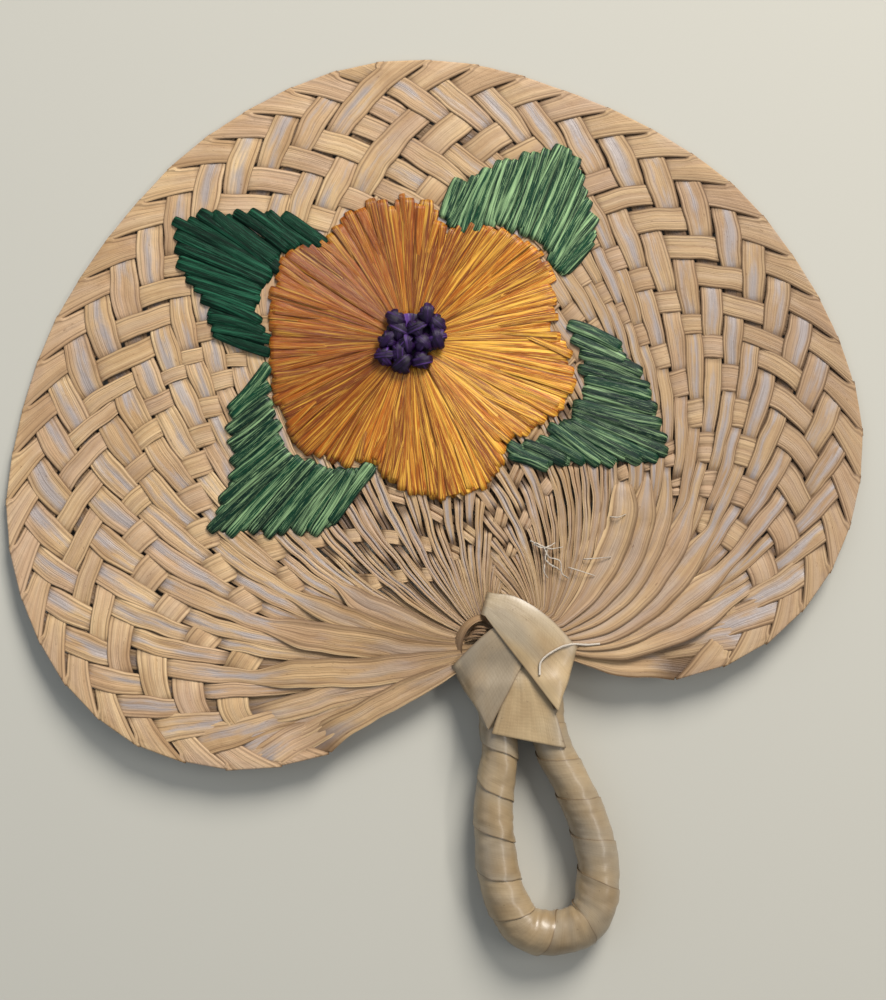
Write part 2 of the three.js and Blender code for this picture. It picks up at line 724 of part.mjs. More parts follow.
// A loose end of the stitching thread lies over the right band and out on the strips.
const threadRoute = [[7, -11.5], [8, -7], [14.5, -3], [19, -2.2], [24.5, -3], [29, -3]];
const threadPath = new THREE.CatmullRomCurve3(threadRoute.map(([x, y]) => {
  const onBand = knotFront(x, y, layerOffset(2)) + bandThickness / 2;
  const onStrips = lift(x, y) + bladeTop;
  const z = x < 20.5 ? onBand : onStrips;
  return new THREE.Vector3(x, y, z + 2 * seat + threadDiameter / 2);
}));
const threadSection = new THREE.Shape();
threadSection.absarc(0, 0, threadDiameter / 2, 0, 2 * Math.PI);
addPiece('stitch_thread', new THREE.ExtrudeGeometry(threadSection, {
  steps: 20, curveSegments: 3, extrudePath: threadPath,
}), '#dccdbe', 0.7);

// The fan stands on the table with its footprint centred on the origin.
const footprint = new THREE.Box3().setFromObject(fan);
const middleOfFootprint = footprint.getCenter(new THREE.Vector3());
fan.position.set(-middleOfFootprint.x, -middleOfFootprint.y, -footprint.min.z);

export default fan;
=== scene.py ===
import math

import bpy
import numpy as np
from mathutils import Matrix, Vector


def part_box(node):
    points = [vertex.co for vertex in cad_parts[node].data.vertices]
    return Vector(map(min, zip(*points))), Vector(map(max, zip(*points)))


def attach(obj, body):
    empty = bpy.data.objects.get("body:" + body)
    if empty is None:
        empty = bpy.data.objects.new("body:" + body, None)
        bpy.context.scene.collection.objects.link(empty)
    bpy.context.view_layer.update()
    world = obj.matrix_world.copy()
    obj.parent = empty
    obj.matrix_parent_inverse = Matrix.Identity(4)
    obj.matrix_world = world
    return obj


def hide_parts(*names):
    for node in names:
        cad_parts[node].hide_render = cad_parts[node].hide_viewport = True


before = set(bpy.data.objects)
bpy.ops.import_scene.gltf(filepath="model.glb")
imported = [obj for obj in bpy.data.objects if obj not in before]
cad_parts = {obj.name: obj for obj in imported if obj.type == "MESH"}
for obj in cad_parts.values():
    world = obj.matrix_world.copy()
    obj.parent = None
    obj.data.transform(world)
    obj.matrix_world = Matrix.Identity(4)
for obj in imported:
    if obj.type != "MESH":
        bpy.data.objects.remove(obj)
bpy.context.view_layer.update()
scene = bpy.context.scene
scene.view_settings.view_transform = "Standard"

# Shapes are worked out in millimetres from the middle of the throat, the camera and lamps in metres.
stalkLow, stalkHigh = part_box("gathered_stalks")
throat = (stalkLow + stalkHigh) * 500
throat = np.array([throat.x, throat.y, 0.0])


# Eases from 0 at low to 1 at high.
def smooth(value, low, high):
    share = np.clip((np.asarray(value, float) - low) / (high - low), 0, 1)
    return share * share * (3 - 2 * share)


# A soft groove or ridge: 1 at 0, fading to both sides.
def dent(place, wide):
    return np.exp(-(place / wide) ** 2)


# A slow wave that never repeats over the piece; the same seed gives the same wave.
def wander(seed, place, step):
    phases = np.random.default_rng(seed).uniform(0, 2 * math.pi, 4)
    place = np.asarray(place, float) / step
    return (np.sin(place * 2.1 + phases[0]) + np.sin(place * 3.7 + phases[1])
            + 0.7 * np.sin(place * 6.1 + phases[2]) + 0.5 * np.sin(place * 9.7 + phases[3])) / 3.2


# One span of a smooth path, between the middle two of four points.
def spanOf(rows, share):
    gaps = [max(np.linalg.norm(rows[k + 1] - rows[k]), 1e-6) ** 0.5 for k in range(3)]
    times = np.concatenate([[0], np.cumsum(gaps)])
    t = times[1] + (times[2] - times[1]) * share[:, None]

    def mixed(first, last, start, stop):
        return (stop - t) / (stop - start) * first + (t - start) / (stop - start) * last

    for width in (1, 2):
        rows = [mixed(rows[k], rows[k + 1], times[k], times[k + width]) for k in range(4 - width)]
    return mixed(rows[0], rows[1], times[1], times[2])


# Smooth path through points.
def pathThrough(points, perSpan=24):
    points = np.array(points, float)
    points = np.vstack([2 * points[0] - points[1], points, 2 * points[-1] - points[-2]])
    share = np.linspace(0, 1, perSpan, endpoint=False)
    spans = [spanOf(points[at - 1:at + 3], share) for at in range(1, len(points) - 2)]
    return np.vstack(spans + [points[-2][None]])


# Smooth path through points in hundredths of a piece's width and length.
def outlineOf(shape, size):
    return pathThrough([(x * size["wide"] / 100, y * size["long"] / 100) for x, y in shape])


def archOf(first, top, last, steps):
    t = np.linspace(0, 1, steps)[:, None]
    return (1 - t) ** 2 * first + 2 * t * (1 - t) * top + t * t * last


def lengthsAlong(path):
    return np.concatenate([[0], np.cumsum(np.linalg.norm(np.diff(path, axis=0), axis=1))])


def pointsAt(path, shares):
    run = lengthsAlong(path)
    want = np.asarray(shares, float) * run[-1]
    return np.stack([np.interp(want, run, path[:, k]) for k in range(path.shape[1])], axis=-1)


def unit(vectors):
    return vectors / np.maximum(np.linalg.norm(vectors, axis=-1, keepdims=True), 1e-9)


def leftOf(ahead):
    return np.stack([-ahead[..., 1], ahead[..., 0]], -1)


def raised(plan, z):
    return np.concatenate([plan, z[..., None]], -1)


# What a material reads at each point: place along the ribbon in mm, across it from -1 to 1, and the
# ribbon's own number, and then up to three values more.
def lanesOf(*values):
    return np.stack(np.broadcast_arrays(*values), -1)


# A thin solid on a grid of points: rows along it, columns across it.
def slabOf(grid, thick, coords):
    rows, cols = grid.shape[:2]
    normal = unit(np.cross(np.gradient(grid, axis=0), np.gradient(grid, axis=1)))
    half = thick / 2
    verts = np.concatenate([(grid + normal * half).reshape(-1, 3), (grid - normal * half).reshape(-1, 3)])
    index = np.arange(rows * cols).reshape(rows, cols)
    under = index + rows * cols
    faces = []
    for sheet, turn in ((index, 1), (under, -1)):
        quads = np.stack([sheet[:-1, :-1], sheet[1:, :-1], sheet[1:, 1:], sheet[:-1, 1:]], -1).reshape(-1, 4)
        faces.append(quads[:, ::turn])
    for top, low, turn in ((index[:, 0], under[:, 0], -1), (index[:, -1], under[:, -1], 1),
                           (index[0], under[0], 1), (index[-1], under[-1], -1)):
        faces.append(np.stack([top[:-1], top[1:], low[1:], low[:-1]], -1)[:, ::turn])
    coords = coords.reshape(rows * cols, -1)
    return verts, np.concatenate(faces), np.concatenate([coords, coords])


# Numbers of the points on a wall of rings, of their neighbours, and the wall's faces.
def ringsOf(count, sides):
    index = np.arange(count * sides).reshape(count, sides)
    after = np.roll(index, -1, axis=1)
    return index, after, np.stack([index[:-1], after[:-1], after[1:], index[1:]], -1).reshape(-1, 4).tolist()


# A closed tube round a path, with its radius at each point.
def tubeOf(path, radius, sides, number, squash=1.0):
    count = len(path)
    radius = np.broadcast_to(np.asarray(radius, float), (count,))
    ahead = unit(np.gradient(path, axis=0))
    side = np.zeros_like(ahead)
    side[0] = unit(np.cross(ahead[0], [0.13, 0.27, 0.95]))
    for k in range(1, count):
        side[k] = unit(side[k - 1] - ahead[k] * np.dot(side[k - 1], ahead[k]))
    up = np.cross(ahead, side)
    turn = np.linspace(0, 2 * math.pi, sides, endpoint=False)
    ring = (side[:, None] * np.cos(turn)[None, :, None]
            + up[:, None] * np.sin(turn)[None, :, None] * squash)
    verts = (path[:, None] + ring * radius[:, None, None]).reshape(-1, 3)
    index, after, faces = ringsOf(count, sides)
    run = lengthsAlong(path)
    coords = lanesOf(run[:, None], np.cos(turn)[None], number).reshape(-1, 3)
    verts = np.concatenate([verts, path[:1], path[-1:]])
    first, last = count * sides, count * sides + 1
    faces += [[first, after[0, k], index[0, k]] for k in range(sides)]
    faces += [[last, index[-1, k], after[-1, k]] for k in range(sides)]
    return verts, faces, np.concatenate([coords, [[0, 0, number], [run[-1], 0, number]]])


def joined(parts):
    verts, faces, coords, shift = [], [], [], 0
    for v, f, c in parts:
        verts.append(v)
        coords.append(c)
        faces.extend([[int(n) + shift for n in face] for face in f])
        shift += len(v)
    return np.concatenate(verts), faces, np.concatenate(coords)


# Makes the object, gives it the fields that its material reads and seats it in the frame.
def makePiece(name, parts, material, node, sharp=48):
    verts, faces, coords = joined(parts)
    mesh = bpy.data.meshes.new(name)
    mesh.from_pydata(((verts + throat) / 1000).tolist(), [], faces)
    for field, first in (("lane", 0), ("run", 3)):
        if coords.shape[1] > first:
            values = np.ascontiguousarray(coords[:, first:first + 3], dtype=np.float32).ravel()
            mesh.attributes.new(field, "FLOAT_VECTOR", "POINT").data.foreach_set("vector", values)
    mesh.polygons.foreach_set("use_smooth", [True] * len(mesh.polygons))
    mesh.set_sharp_from_angle(angle=math.radians(sharp))
    mesh.materials.append(material)
    mesh.validate()
    piece = bpy.data.objects.new(name, mesh)
    scene.collection.objects.link(piece)
    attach(piece, "root")
    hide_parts(node)


def tint(red, green, blue):
    def linear(level):
        level /= 255
        return level / 12.92 if level <= 0.04045 else ((level + 0.055) / 1.055) ** 2.4
    return (linear(red), linear(green), linear(blue), 1.0)


# One socket of the shader, so that sums on it read as sums.
class Wire:
    def __init__(self, finish, socket):
        self.finish, self.socket = finish, socket

    def maths(self, operation, first, second=0.0, third=0.0):
        made = self.finish.node("ShaderNodeMath", {"operation": operation}, {0: first, 1: second, 2: third})
        return made[0]

    def __add__(self, other): return self.maths("ADD", self, other)
    def __radd__(self, other): return self.maths("ADD", other, self)
    def __sub__(self, other): return self.maths("SUBTRACT", self, other)
    def __rsub__(self, other): return self.maths("SUBTRACT", other, self)
    def __mul__(self, other): return self.maths("MULTIPLY", self, other)
    def __rmul__(self, other): return self.maths("MULTIPLY", other, self)
    def size(self): return self.maths("ABSOLUTE", self)
    def wave(self): return self.maths("SINE", self)
    def above(self, edge, soft): return self.maths("MULTIPLY_ADD", self, 1 / soft, 0.5 - edge / soft).held()
    def held(self): return self.finish.node("ShaderNodeClamp", {}, {0: self})[0]


# One node of the shader; an index or a name gives one of its outputs.
class Made:
    def __init__(self, finish, node):
        self.finish, self.made = finish, node

    def __getitem__(self, key):
        return Wire(self.finish, self.made.outputs[key])


class Finish:
    def __init__(self, name):
        self.material = bpy.data.materials.new(name)
        self.material.use_nodes = True
        self.tree = self.material.node_tree
        self.tree.nodes.clear()

    def node(self, kind, settings=None, sockets=None):
        made = self.tree.nodes.new(kind)
        for key, value in (settings or {}).items():
            setattr(made, key, value)
        for key, value in (sockets or {}).items():
            if isinstance(value, Wire):
                self.tree.links.new(value.socket, made.inputs[key])
            else:
                made.inputs[key].default_value = value
        return Made(self, made)

    # The three values of a field that makePiece gave the mesh.
    def field(self, name):
        values = self.node("ShaderNodeAttribute", {"attribute_name": name})["Vector"]
        parts = self.node("ShaderNodeSeparateXYZ", {}, {0: values})
        return parts["X"], parts["Y"], parts["Z"]

    def noise(self, x, y, z, detail, rough, scale=1.0):
        point = self.node("ShaderNodeCombineXYZ", {}, {0: x, 1: y, 2: z})[0]
        return self.node("ShaderNodeTexNoise", {}, {
            "Vector": point, "Scale": scale, "Detail": detail, "Roughness": rough})["Fac"]

    # Noise patterns by the ribbon's own coordinates, from a table that says how fast each one changes along
    # and across the ribbon, where it starts, its detail and its roughness.
    def grains(self, table, lane, fine=1.0):
        along, across, number = lane
        return [self.noise(along * perLength, across * (perWidth * fine), number + start, detail, rough)
                for perLength, perWidth, start, detail, rough in table.values()]

    def blend(self, factor, first, second, how="MIX"):
        made = self.node("ShaderNodeMix", {"data_type": "RGBA", "blend_type": how},
                         {0: factor, 6: first, 7: second})
        return made[2]

    # Lays colours over the first one, each through its mask.
    def layered(self, colour, *layers):
        for mask, over in layers:
            colour = self.blend(mask, colour, over)
        return colour

    def done(self, colour, roughness, fixed=None, relief=None, strength=0.0, distance=0.0):
        sockets = {"Base Color": colour, "Roughness": roughness, **(fixed or {})}
        if relief is not None:
            sockets["Normal"] = self.node("ShaderNodeBump", {}, {
                "Height": relief, "Strength": strength, "Distance": distance})[0]
        shader = self.node("ShaderNodeBsdfPrincipled", {}, sockets)["BSDF"]
        self.node("ShaderNodeOutputMaterial", {}, {"Surface": shader})
        return self.material


leafLook = {
    "tan": tint(196, 160, 116), "straw": tint(224, 192, 146), "brown": tint(160, 122, 80),
    "grey": tint(162, 155, 156), "fleck": tint(104, 72, 42), "shade": tint(88, 62, 36),
    "pink": tint(186, 152, 128), "dull": tint(142, 114, 86),
    "rough": 0.56, "gleam": 0.24, "bump": 0.75, "bumpHigh": 0.00045,
    "dullFrom": 0.02, "dullSoft": 0.18,  # metres to the right of the throat
}
leafGrains = {
    "streaks": (0.012, 3.2, 0, 4, 0.6), "fibres": (0.03, 15, 0, 2, 0.6), "clouds": (0.045, 0.7, 3.7, 3, 0.55),
    "patches": (0.03, 0, 21, 1, 0.5), "gleams": (0.04, 0.9, 9.1, 3, 0.6), "flecks": (0.35, 5, 5.3, 3, 0.7),
    "gullies": (0.02, 2.8, 13, 3, 0.6), "wrinkles": (0.45, 2.2, 0, 3, 0.6),
}


# Dried palm leaf: long streaks, a few flecks, and a greyish gloss down the middle of some strips, painted
# into the colour as a reflection.
def palmLeaf(name, look, greyness, darker=0.0):
    f = Finish(name)
    along, across, number = f.field("lane")
    # How much the strip is a ray here and not a weft, how high it lies, and how loose it is.
    ray, high, loose = f.field("run")
    number = number * 7.31
    streaks, fibres, clouds, patches, gleams, flecks, gullies, wrinkles = f.grains(
        leafGrains, (along, across, number))
    whole = f.noise(number * 0.7, 0.5, 0.5, 1.0, 0.5)
    # Painted shade: the half to the right of the handle is darker, with wider painted dark gaps.
    place = f.node("ShaderNodeTexCoord")["Object"]
    spot = f.node("ShaderNodeSeparateXYZ", {}, {0: place})["X"]
    right = (spot - throat[0] / 1000).above(look["dullFrom"], look["dullSoft"])
    # Edge marks where painted shade lies along each strip's sides, wider on the right.
    edge = (across.size() + right * 0.07).above(0.95, 0.1)
    seam = (across.size() - 0.71).size()
    middle = 1 - (across + (patches - 0.5) * 1.2).size().above(0.46, 0.4)
    # Sheen masks the painted grey reflection; it also lowers the roughness there.
    sheen = gleams.above(0.49, 0.14) * middle * (ray * 0.85 + 0.15) * (1 - loose * 0.6)
    colour = f.layered(
        look["tan"],
        (streaks.above(0.5, 0.3), look["straw"]),
        (patches.above(0.52, 0.22) * 0.55, look["pink"]),
        (clouds.above(0.58, 0.24) * 0.6, look["brown"]),
        (whole.above(0.56, 0.2) * 0.35 + loose * 0.14, look["brown"]),
        # Painted shade over the right half.
        (right * 0.56, look["dull"]),
        # Painted reflection: greyish patches down the middle of the rays.
        (sheen * greyness, look["grey"]),
        ((1 - fibres.above(0.42, 0.22)) * 0.32, look["shade"]),
        (flecks.above(0.69, 0.05) * 0.6, look["fleck"]),
        # Painted shade in the seam groove and along each strip's edges, where the strips meet.
        ((1 - seam.above(0.05, 0.05)) * 0.45, look["shade"]),
        (edge * (1 - loose * 0.85) * 0.8, look["shade"]),
        # Loose strips lie like shingles: a painted highlight along one edge, painted shade along the other,
        # where the next one overlaps it.
        (across.above(0.86, 0.14) * loose * 0.6, look["straw"]),
        ((0 - across).above(0.84, 0.2) * loose * 0.75, look["shade"]),
        (gullies.above(0.6, 0.1) * loose * 0.3, look["shade"]),
        # Painted shade where a strip dives under another, deeper on the right and less on loose strips.
        ((1 - high.above(-0.1, 1.2)) * (right * 0.2 + 0.72 - loose * 0.5), look["shade"]))
    if darker:
        colour = f.blend(darker, colour, look["brown"], "MULTIPLY")
    roughness = look["rough"] - sheen * look["gleam"] + fibres * 0.12
    return f.done(colour, roughness, {"Specular IOR Level": 0.45},
                  fibres * 0.6 + streaks * 0.9 + wrinkles * 0.45, look["bump"], look["bumpHigh"])


ribbonLook = {
    "base": tint(158, 132, 96), "pale": tint(184, 160, 122), "dark": tint(98, 76, 50),
    "cool": tint(146, 138, 124), "bump": 0.5, "bumpHigh": 0.0003, "coat": 0.36, "coatRough": 0.24,
}
# A darker copy of the knot ribbon: painted shade for the left band.
shadedBandLook = dict(ribbonLook, base=tint(142, 119, 88), pale=tint(166, 144, 112), cool=tint(134, 125, 110))
wrapLook = dict(ribbonLook, base=tint(144, 122, 90), pale=tint(166, 145, 113), cool=tint(136, 127, 112))
ribbonGrains = {
    "clouds": (0.05, 0.8, 0, 4, 0.6), "fine": (0.05, 24, 0, 3, 0.6), "cool": (0.03, 0.5, 4.4, 2, 0.5),
    "specks": (0.6, 6, 8.1, 2, 0.6), "wrinkles": (0.16, 1.6, 2, 2, 0.5),
}


# Broad raffia ribbon on the handle and the knot: satin, with fine ribs across its width.
def raffiaRibbon(name, look, ribs, gloss, paleFrom):
    f = Finish(name)
    along, across, number = f.field("lane")
    clouds, fine, cool, specks, wrinkles = f.grains(ribbonGrains, (along, across, number * 5.17))
    colour = f.layered(
        look["base"],
        (clouds.above(paleFrom, 0.35), look["pale"]),
        (cool.above(0.54, 0.2) * 0.6, look["cool"]),
        ((1 - fine.above(0.4, 0.3)) * 0.2, look["dark"]),
        (across.size().above(0.97, 0.06) * 0.7, look["dark"]),
        (specks.above(0.72, 0.05) * 0.4, look["dark"]))
    weft = (along * 5.0 + fine * 5.0 + clouds * 26.0).wave()
    return f.done(colour, gloss + fine * 0.1 + clouds * 0.1, {
        "Specular IOR Level": 0.5, "Coat Weight": look["coat"], "Coat Roughness": look["coatRough"],
    }, fine * 0.3 + weft * ribs + wrinkles * 1.3, look["bump"], look["bumpHigh"])


# For each dye: its deep, middle and pale colour, the pale one a painted highlight, its roughness, where the
# pale streaks start, how fine they are, and its shine.
dyes = {
    "petal_raffia": ((98, 38, 0), (206, 112, 4), (252, 194, 72), 0.32, 0.53, 1.2, 0.42),
    "leaf_raffia": ((0, 22, 18), (6, 70, 44), (168, 204, 146), 0.36, 0.56, 1.4, 0.26),
    # A darker copy of the leaf dye: painted shade for the upper left leaf.
    "shaded_leaf_raffia": ((0, 20, 12), (2, 50, 32), (40, 104, 76), 0.45, 0.57, 1.5, 0.12),
    "eye_raffia": ((8, 0, 16), (36, 8, 58), (98, 60, 142), 0.3, 0.62, 0.8, 0.3),
    "thread_cotton": ((144, 126, 108), (192, 178, 160), (222, 212, 198), 0.6, 0.45, 1.0, 0.3),
}
dyeGrains = {
    "streaks": (0.035, 1.7, 0, 3, 0.6), "fibres": (0.05, 7, 2.2, 2, 0.6), "glints": (0.16, 9, 6.2, 3, 0.65),
}


# Dyed raffia stitches: saturated, streaked along the stitch, glossy, with painted highlights and painted
# shade along the edges.
def dyedRaffia(name, deep, mid, pale, gloss, paleFrom, fine, shine):
    f = Finish(name)
    along, across, number = f.field("lane")
    shaded = f.field("run")[0]
    number = number * 3.77
    deep, mid, pale = tint(*deep), tint(*mid), tint(*pale)
    whole = f.noise(number, 0.5, 0.5, 1.0, 0.5, 2.3)
    streaks, fibres, glints = f.grains(dyeGrains, (along, across, number), fine)
    # Shaded stitches get fewer painted highlights.
    streaks, glints = streaks - shaded * 0.05, glints - shaded * 0.05
    colour = f.layered(
        deep,
        (whole.above(0.5, 0.26) * 0.6 + fibres.above(0.5, 0.3) * 0.4, mid),
        # Pale streaks and glints are painted highlights.
        (streaks.above(paleFrom, 0.15) * 0.85, pale),
        (glints.above(paleFrom + 0.03, 0.09) * 0.75, pale),
        ((1 - fibres.above(0.42, 0.16)) * 0.8, deep),
        # Painted shade along each stitch's edges and where shaded is set.
        (across.size().above(0.84, 0.22) * 0.85, deep),
        (shaded * 0.5, deep))
    return f.done(colour, gloss + fibres * 0.15, {"Specular IOR Level": shine},
                  fibres * 0.9 + streaks * 0.5 + glints * 0.5, 0.7, 0.0004)


leafFinish = palmLeaf("palm_leaf_cool", leafLook, 0.8)
stalkFinish = palmLeaf("stalk_ends", leafLook, 0.15, 0.25)
wrapFinish = raffiaRibbon("handle_ribbon", wrapLook, 0.03, 0.33, 0.56)
bandFinish = raffiaRibbon("knot_ribbon", ribbonLook, 0.05, 0.34, 0.46)
shadedBandFinish = raffiaRibbon("shaded_knot_ribbon", shadedBandLook, 0.05, 0.34, 0.46)
petalFinish, greenFinish, shadedGreenFinish, eyeFinish, threadFinish = [
    dyedRaffia(name, *values) for name, values in dyes.items()]
print("materials made")


# How tall the view is at the fan, and how far above it the camera hangs; its middle is in mm from the throat.
picture = {"tall": 0.352, "away": 0.62, "level": 0.004, "roll": -4.7, "middle": (-21.2, 51.2), "sensor": 36}
# Size, power, place and colour of each lamp, and the angle that it shines into.
lamps = {
    "window": (0.84, 13.6, (0.70, 1.28, 1.08), (1.0, 0.965, 0.91), 100),
    "fill": (0.9, 1.3, (-0.6, 0.1, 0.55), (0.80, 0.89, 1.0), 180),
    "glow": ((0.55, 0.09), 2.3, (0.74, -0.12, 0.78), (1.0, 0.97, 0.93), 180),
}
room = {
    "sky": (0.90, 0.95, 1.0, 1), "skyLevel": 0.26, "floorHalf": 3.0,
    "floor": (0.50, 0.485, 0.43, 1), "floorGrain": (0.44, 0.43, 0.38, 1),
}


def overhead():
    data = bpy.data.cameras.new("camera")
    data.sensor_width = picture["sensor"]
    data.lens = picture["sensor"] * picture["away"] / picture["tall"]
    data.clip_start, data.clip_end = 0.05, 20
    camera = bpy.data.objects.new("camera", data)
    x, y = picture["middle"]
    camera.location = ((throat[0] + x) / 1000, (throat[1] + y) / 1000, picture["away"] + picture["level"])
    camera.rotation_euler = (0, 0, math.radians(picture["roll"]))
    scene.collection.objects.link(camera)
    scene.camera = camera


def softLamp(name, size, power, place, colour, spread):
    data = bpy.data.lights.new(name, "AREA")
    data.spread = math.radians(spread)
    data.energy, data.color = power, colour
    if isinstance(size, tuple):
        data.shape, data.size, data.size_y = "RECTANGLE", *size
    else:
        data.shape, data.size = "DISK", size
    lamp = bpy.data.objects.new(name, data)
    lamp.location = place
    lamp.rotation_euler = (-Vector(place)).to_track_quat("-Z", "Y").to_euler()
    scene.collection.objects.link(lamp)


def surroundings():
    for name, values in lamps.items():
        softLamp(name, *values)
    world = bpy.data.worlds.new("room")
    scene.world = world
    world.use_nodes = True
    back = world.node_tree.nodes["Background"]
    back.inputs["Color"].default_value = room["sky"]
    back.inputs["Strength"].default_value = room["skyLevel"]
    half = room["floorHalf"]
    mesh = bpy.data.meshes.new("floor")
    corners = [(-half, -half, 0), (half, -half, 0), (half, half, 0), (-half, half, 0)]
    mesh.from_pydata(corners, [], [(0, 1, 2, 3)])
    f = Finish("pale_floor")
    spot = f.node("ShaderNodeTexCoord")["Object"]
    grain = f.node("ShaderNodeTexNoise", {}, {"Vector": spot, "Scale": 14, "Detail": 3})["Fac"]
    colour = f.blend(grain * 0.12, room["floor"], room["floorGrain"])
    mesh.materials.append(f.done(colour, 0.8 - grain * 0.06))
    floor = bpy.data.objects.new("floor", mesh)
    scene.collection.objects.link(floor)


overhead()
surroundings()
print("camera, light and floor made")


# The blade: each strip runs from the throat to the rim as a leg on the left, folds over, and comes back as a
# leg on the right. A leg is a ray on its own side of the seam and a weft on the other.
blade = {
    "strips": 44, "wide": 302, "long": 243, "thick": 0.26,
    "rimFirst": 0.075, "rimLast": 0.945, "rimAngle": 34, "foldReach": 0.5,
    "sweepFirst": 1.2, "sweepLast": 112, "spread": 0.5, "crossLean": 45,
    "gatherWide": 18, "gatherLong": 13.5, "throatLift": 9.5, "rimLift": 0.175, "base": 1.02,
    "level": 0.5, "looseDrop": 1.7, "hiddenDrop": 2.2, "bulge": 0.2, "seamLean": 0.16, "seamBlend": 8,
    "twillRows": 6, "thinRows": 3,
    "full": 11.0, "least": 1.2, "rayCover": 1.05, "pinch": 0.84, "weftCover": 0.86, "innerCover": 0.80,
    "stray": 0.5, "rowStep": 1.1, "slantRun": 11, "columns": 17, "droop": 0.27, "roll": 0.05,
    "floatWide": 9.2, "floatTurn": 5.4, "floatRise": 1.0, "floatFrom": (66, 36), "innerReach": 80,
    "creases": 4, "creaseDeep": 0.17, "creaseWide": 0.15, "splitDeep": 1.3, "splitWide": 0.13,
    "edgeHigh": 0.10, "seamDeep": 0.09, "hollowDeep": 0.14, "hollowWide": 0.45,
    "weftPair": (4.7, 3.4), "outerWide": (7, 4), "tip": 0.62, "sway": 1.2, "sink": 0.9, "jostle": 0.2,
    "middle": (-0.073, 0.247), "radius": 0.483, "leavePull": (0.3, 0.25), "arrivePull": (0.28, 0.55),
}
# The rim, in hundredths of the blade's width and length from the throat.
rimShape = [
    (-7.3, -3.7), (-13.9, -9.5), (-20.2, -12.8), (-27.2, -14.8), (-34.1, -14.8), (-44.4, -10.3), (-52, -1.2),
    (-56.6, 11.5), (-57.8, 24.7), (-55.6, 37.4), (-51.7, 49), (-46.4, 58.8), (-39.4, 68.3), (-31.8, 75.9),
    (-20.5, 82.7), (-10.3, 85.2), (0, 84), (10.6, 79.2), (21.2, 72), (30.5, 62.3), (37.4, 49.4), (41.4, 36.2),
    (42.4, 25.5), (40.1, 13.2), (35.4, 3.7), (28.5, -3.3), (19.9, -6.8), (12.6, -5.8), (7, -2.1),
]
# Distance out from the throat within which the rays lie loose on top of the wefts, by the direction from
# straight up in degrees, on the left and on the right.
looseReach = {
    -1: ([0, 20, 45, 60, 66, 71, 80, 112], [32, 34, 32, 38, 57, 73, 86, 98]),
    1: ([0, 9, 14, 20, 30, 38, 50, 80, 112], [30, 34, 46, 64, 68, 70, 76, 78, 64]),
}
rim = outlineOf(rimShape, blade)


# Height of the middle of the blade: high at the throat, down on the table at the upper rim.
def lift(x, y):
    middle = np.array([blade["middle"][0] * blade["wide"], blade["middle"][1] * blade["long"]])
    radius = blade["radius"] * blade["wide"]
    away = np.maximum(np.hypot(x, y), 1e-6)
    along = (x * middle[0] + y * middle[1]) / away
    reach = along + np.sqrt(along ** 2 - middle @ middle + radius ** 2)
    fall = smooth(y / away, -0.25, 0.6)
    high, low = blade["throatLift"], blade["rimLift"]
    return high - (high - low) * fall * np.minimum(away / reach, 1)


# How far a place lies to the right of the seam, which runs up from the throat.
def pastSeam(x, y):
    return (x + blade["seamLean"] * y) / math.hypot(1, blade["seamLean"])


# Direction from the throat in degrees from straight up, the same to both sides.
def turnOf(path):
    return np.degrees(np.arctan2(np.abs(path[..., 0]), path[..., 1]))


def makeLeg(order, side):
    b = blade
    share = order / (b["strips"] - 1)
    own = 1 - share if side < 0 else share
    turn = b["sweepFirst"] + (b["sweepLast"] - b["sweepFirst"]) * own * (1 + b["spread"] * (1 - own))
    sweep = math.radians(turn)
    root = np.array([side * b["gatherWide"] * math.sin(sweep), b["gatherLong"] * math.cos(sweep)])
    heading = sweep - math.radians(b["crossLean"]) * (1 - own) ** 2
    leave = np.array([side * math.sin(heading), math.cos(heading)])
    place = b["rimFirst"] + (b["rimLast"] - b["rimFirst"]) * share
    near = pointsAt(rim, [place - 0.002, place, place + 0.002])
    tangent = unit(near[2] - near[0])
    outward = leftOf(tangent)
    end = near[1] - outward * b["foldReach"]
    angle = math.radians(b["rimAngle"])
    arrive = -side * tangent * math.cos(angle) + outward * math.sin(angle)
    gap = np.linalg.norm(end - root)
    least, more = b["leavePull"]
    leavePoint = root + leave * gap * (least + more * (1 - own) ** 2)
    least, more = b["arrivePull"]
    arrivePoint = end - arrive * gap * (least + more * (1 - own) ** 2)
    t = np.linspace(0, 1, 260)[:, None]
    curve = ((1 - t) ** 3 * root + 3 * (1 - t) ** 2 * t * leavePoint
             + 3 * (1 - t) * t * t * arrivePoint + t ** 3 * end)
    length = lengthsAlong(curve)[-1]
    path = pointsAt(curve, np.linspace(0, 1, max(int(length / b["rowStep"]), 8)))
    run = lengthsAlong(path)
    ahead = unit(np.gradient(path, axis=0))
    hold = smooth(run, 3, 24) * smooth(run[-1] - run, 3, 22)
    stray = b["stray"] * hold * wander(order * 2 + (side > 0) + 500, run, 17)
    path = path + leftOf(ahead) * stray[:, None]
    path = np.concatenate([np.linspace(0.55, 1, 7)[:-1, None] * root[None], path])
    return {"order": order, "side": side, "turn": turn, "path": path, "run": lengthsAlong(path),
            "outward": outward, "end": end, "levels": [], "float": False}


legs = {side: [makeLeg(order, side) for order in range(blade["strips"])] for side in (-1, 1)}


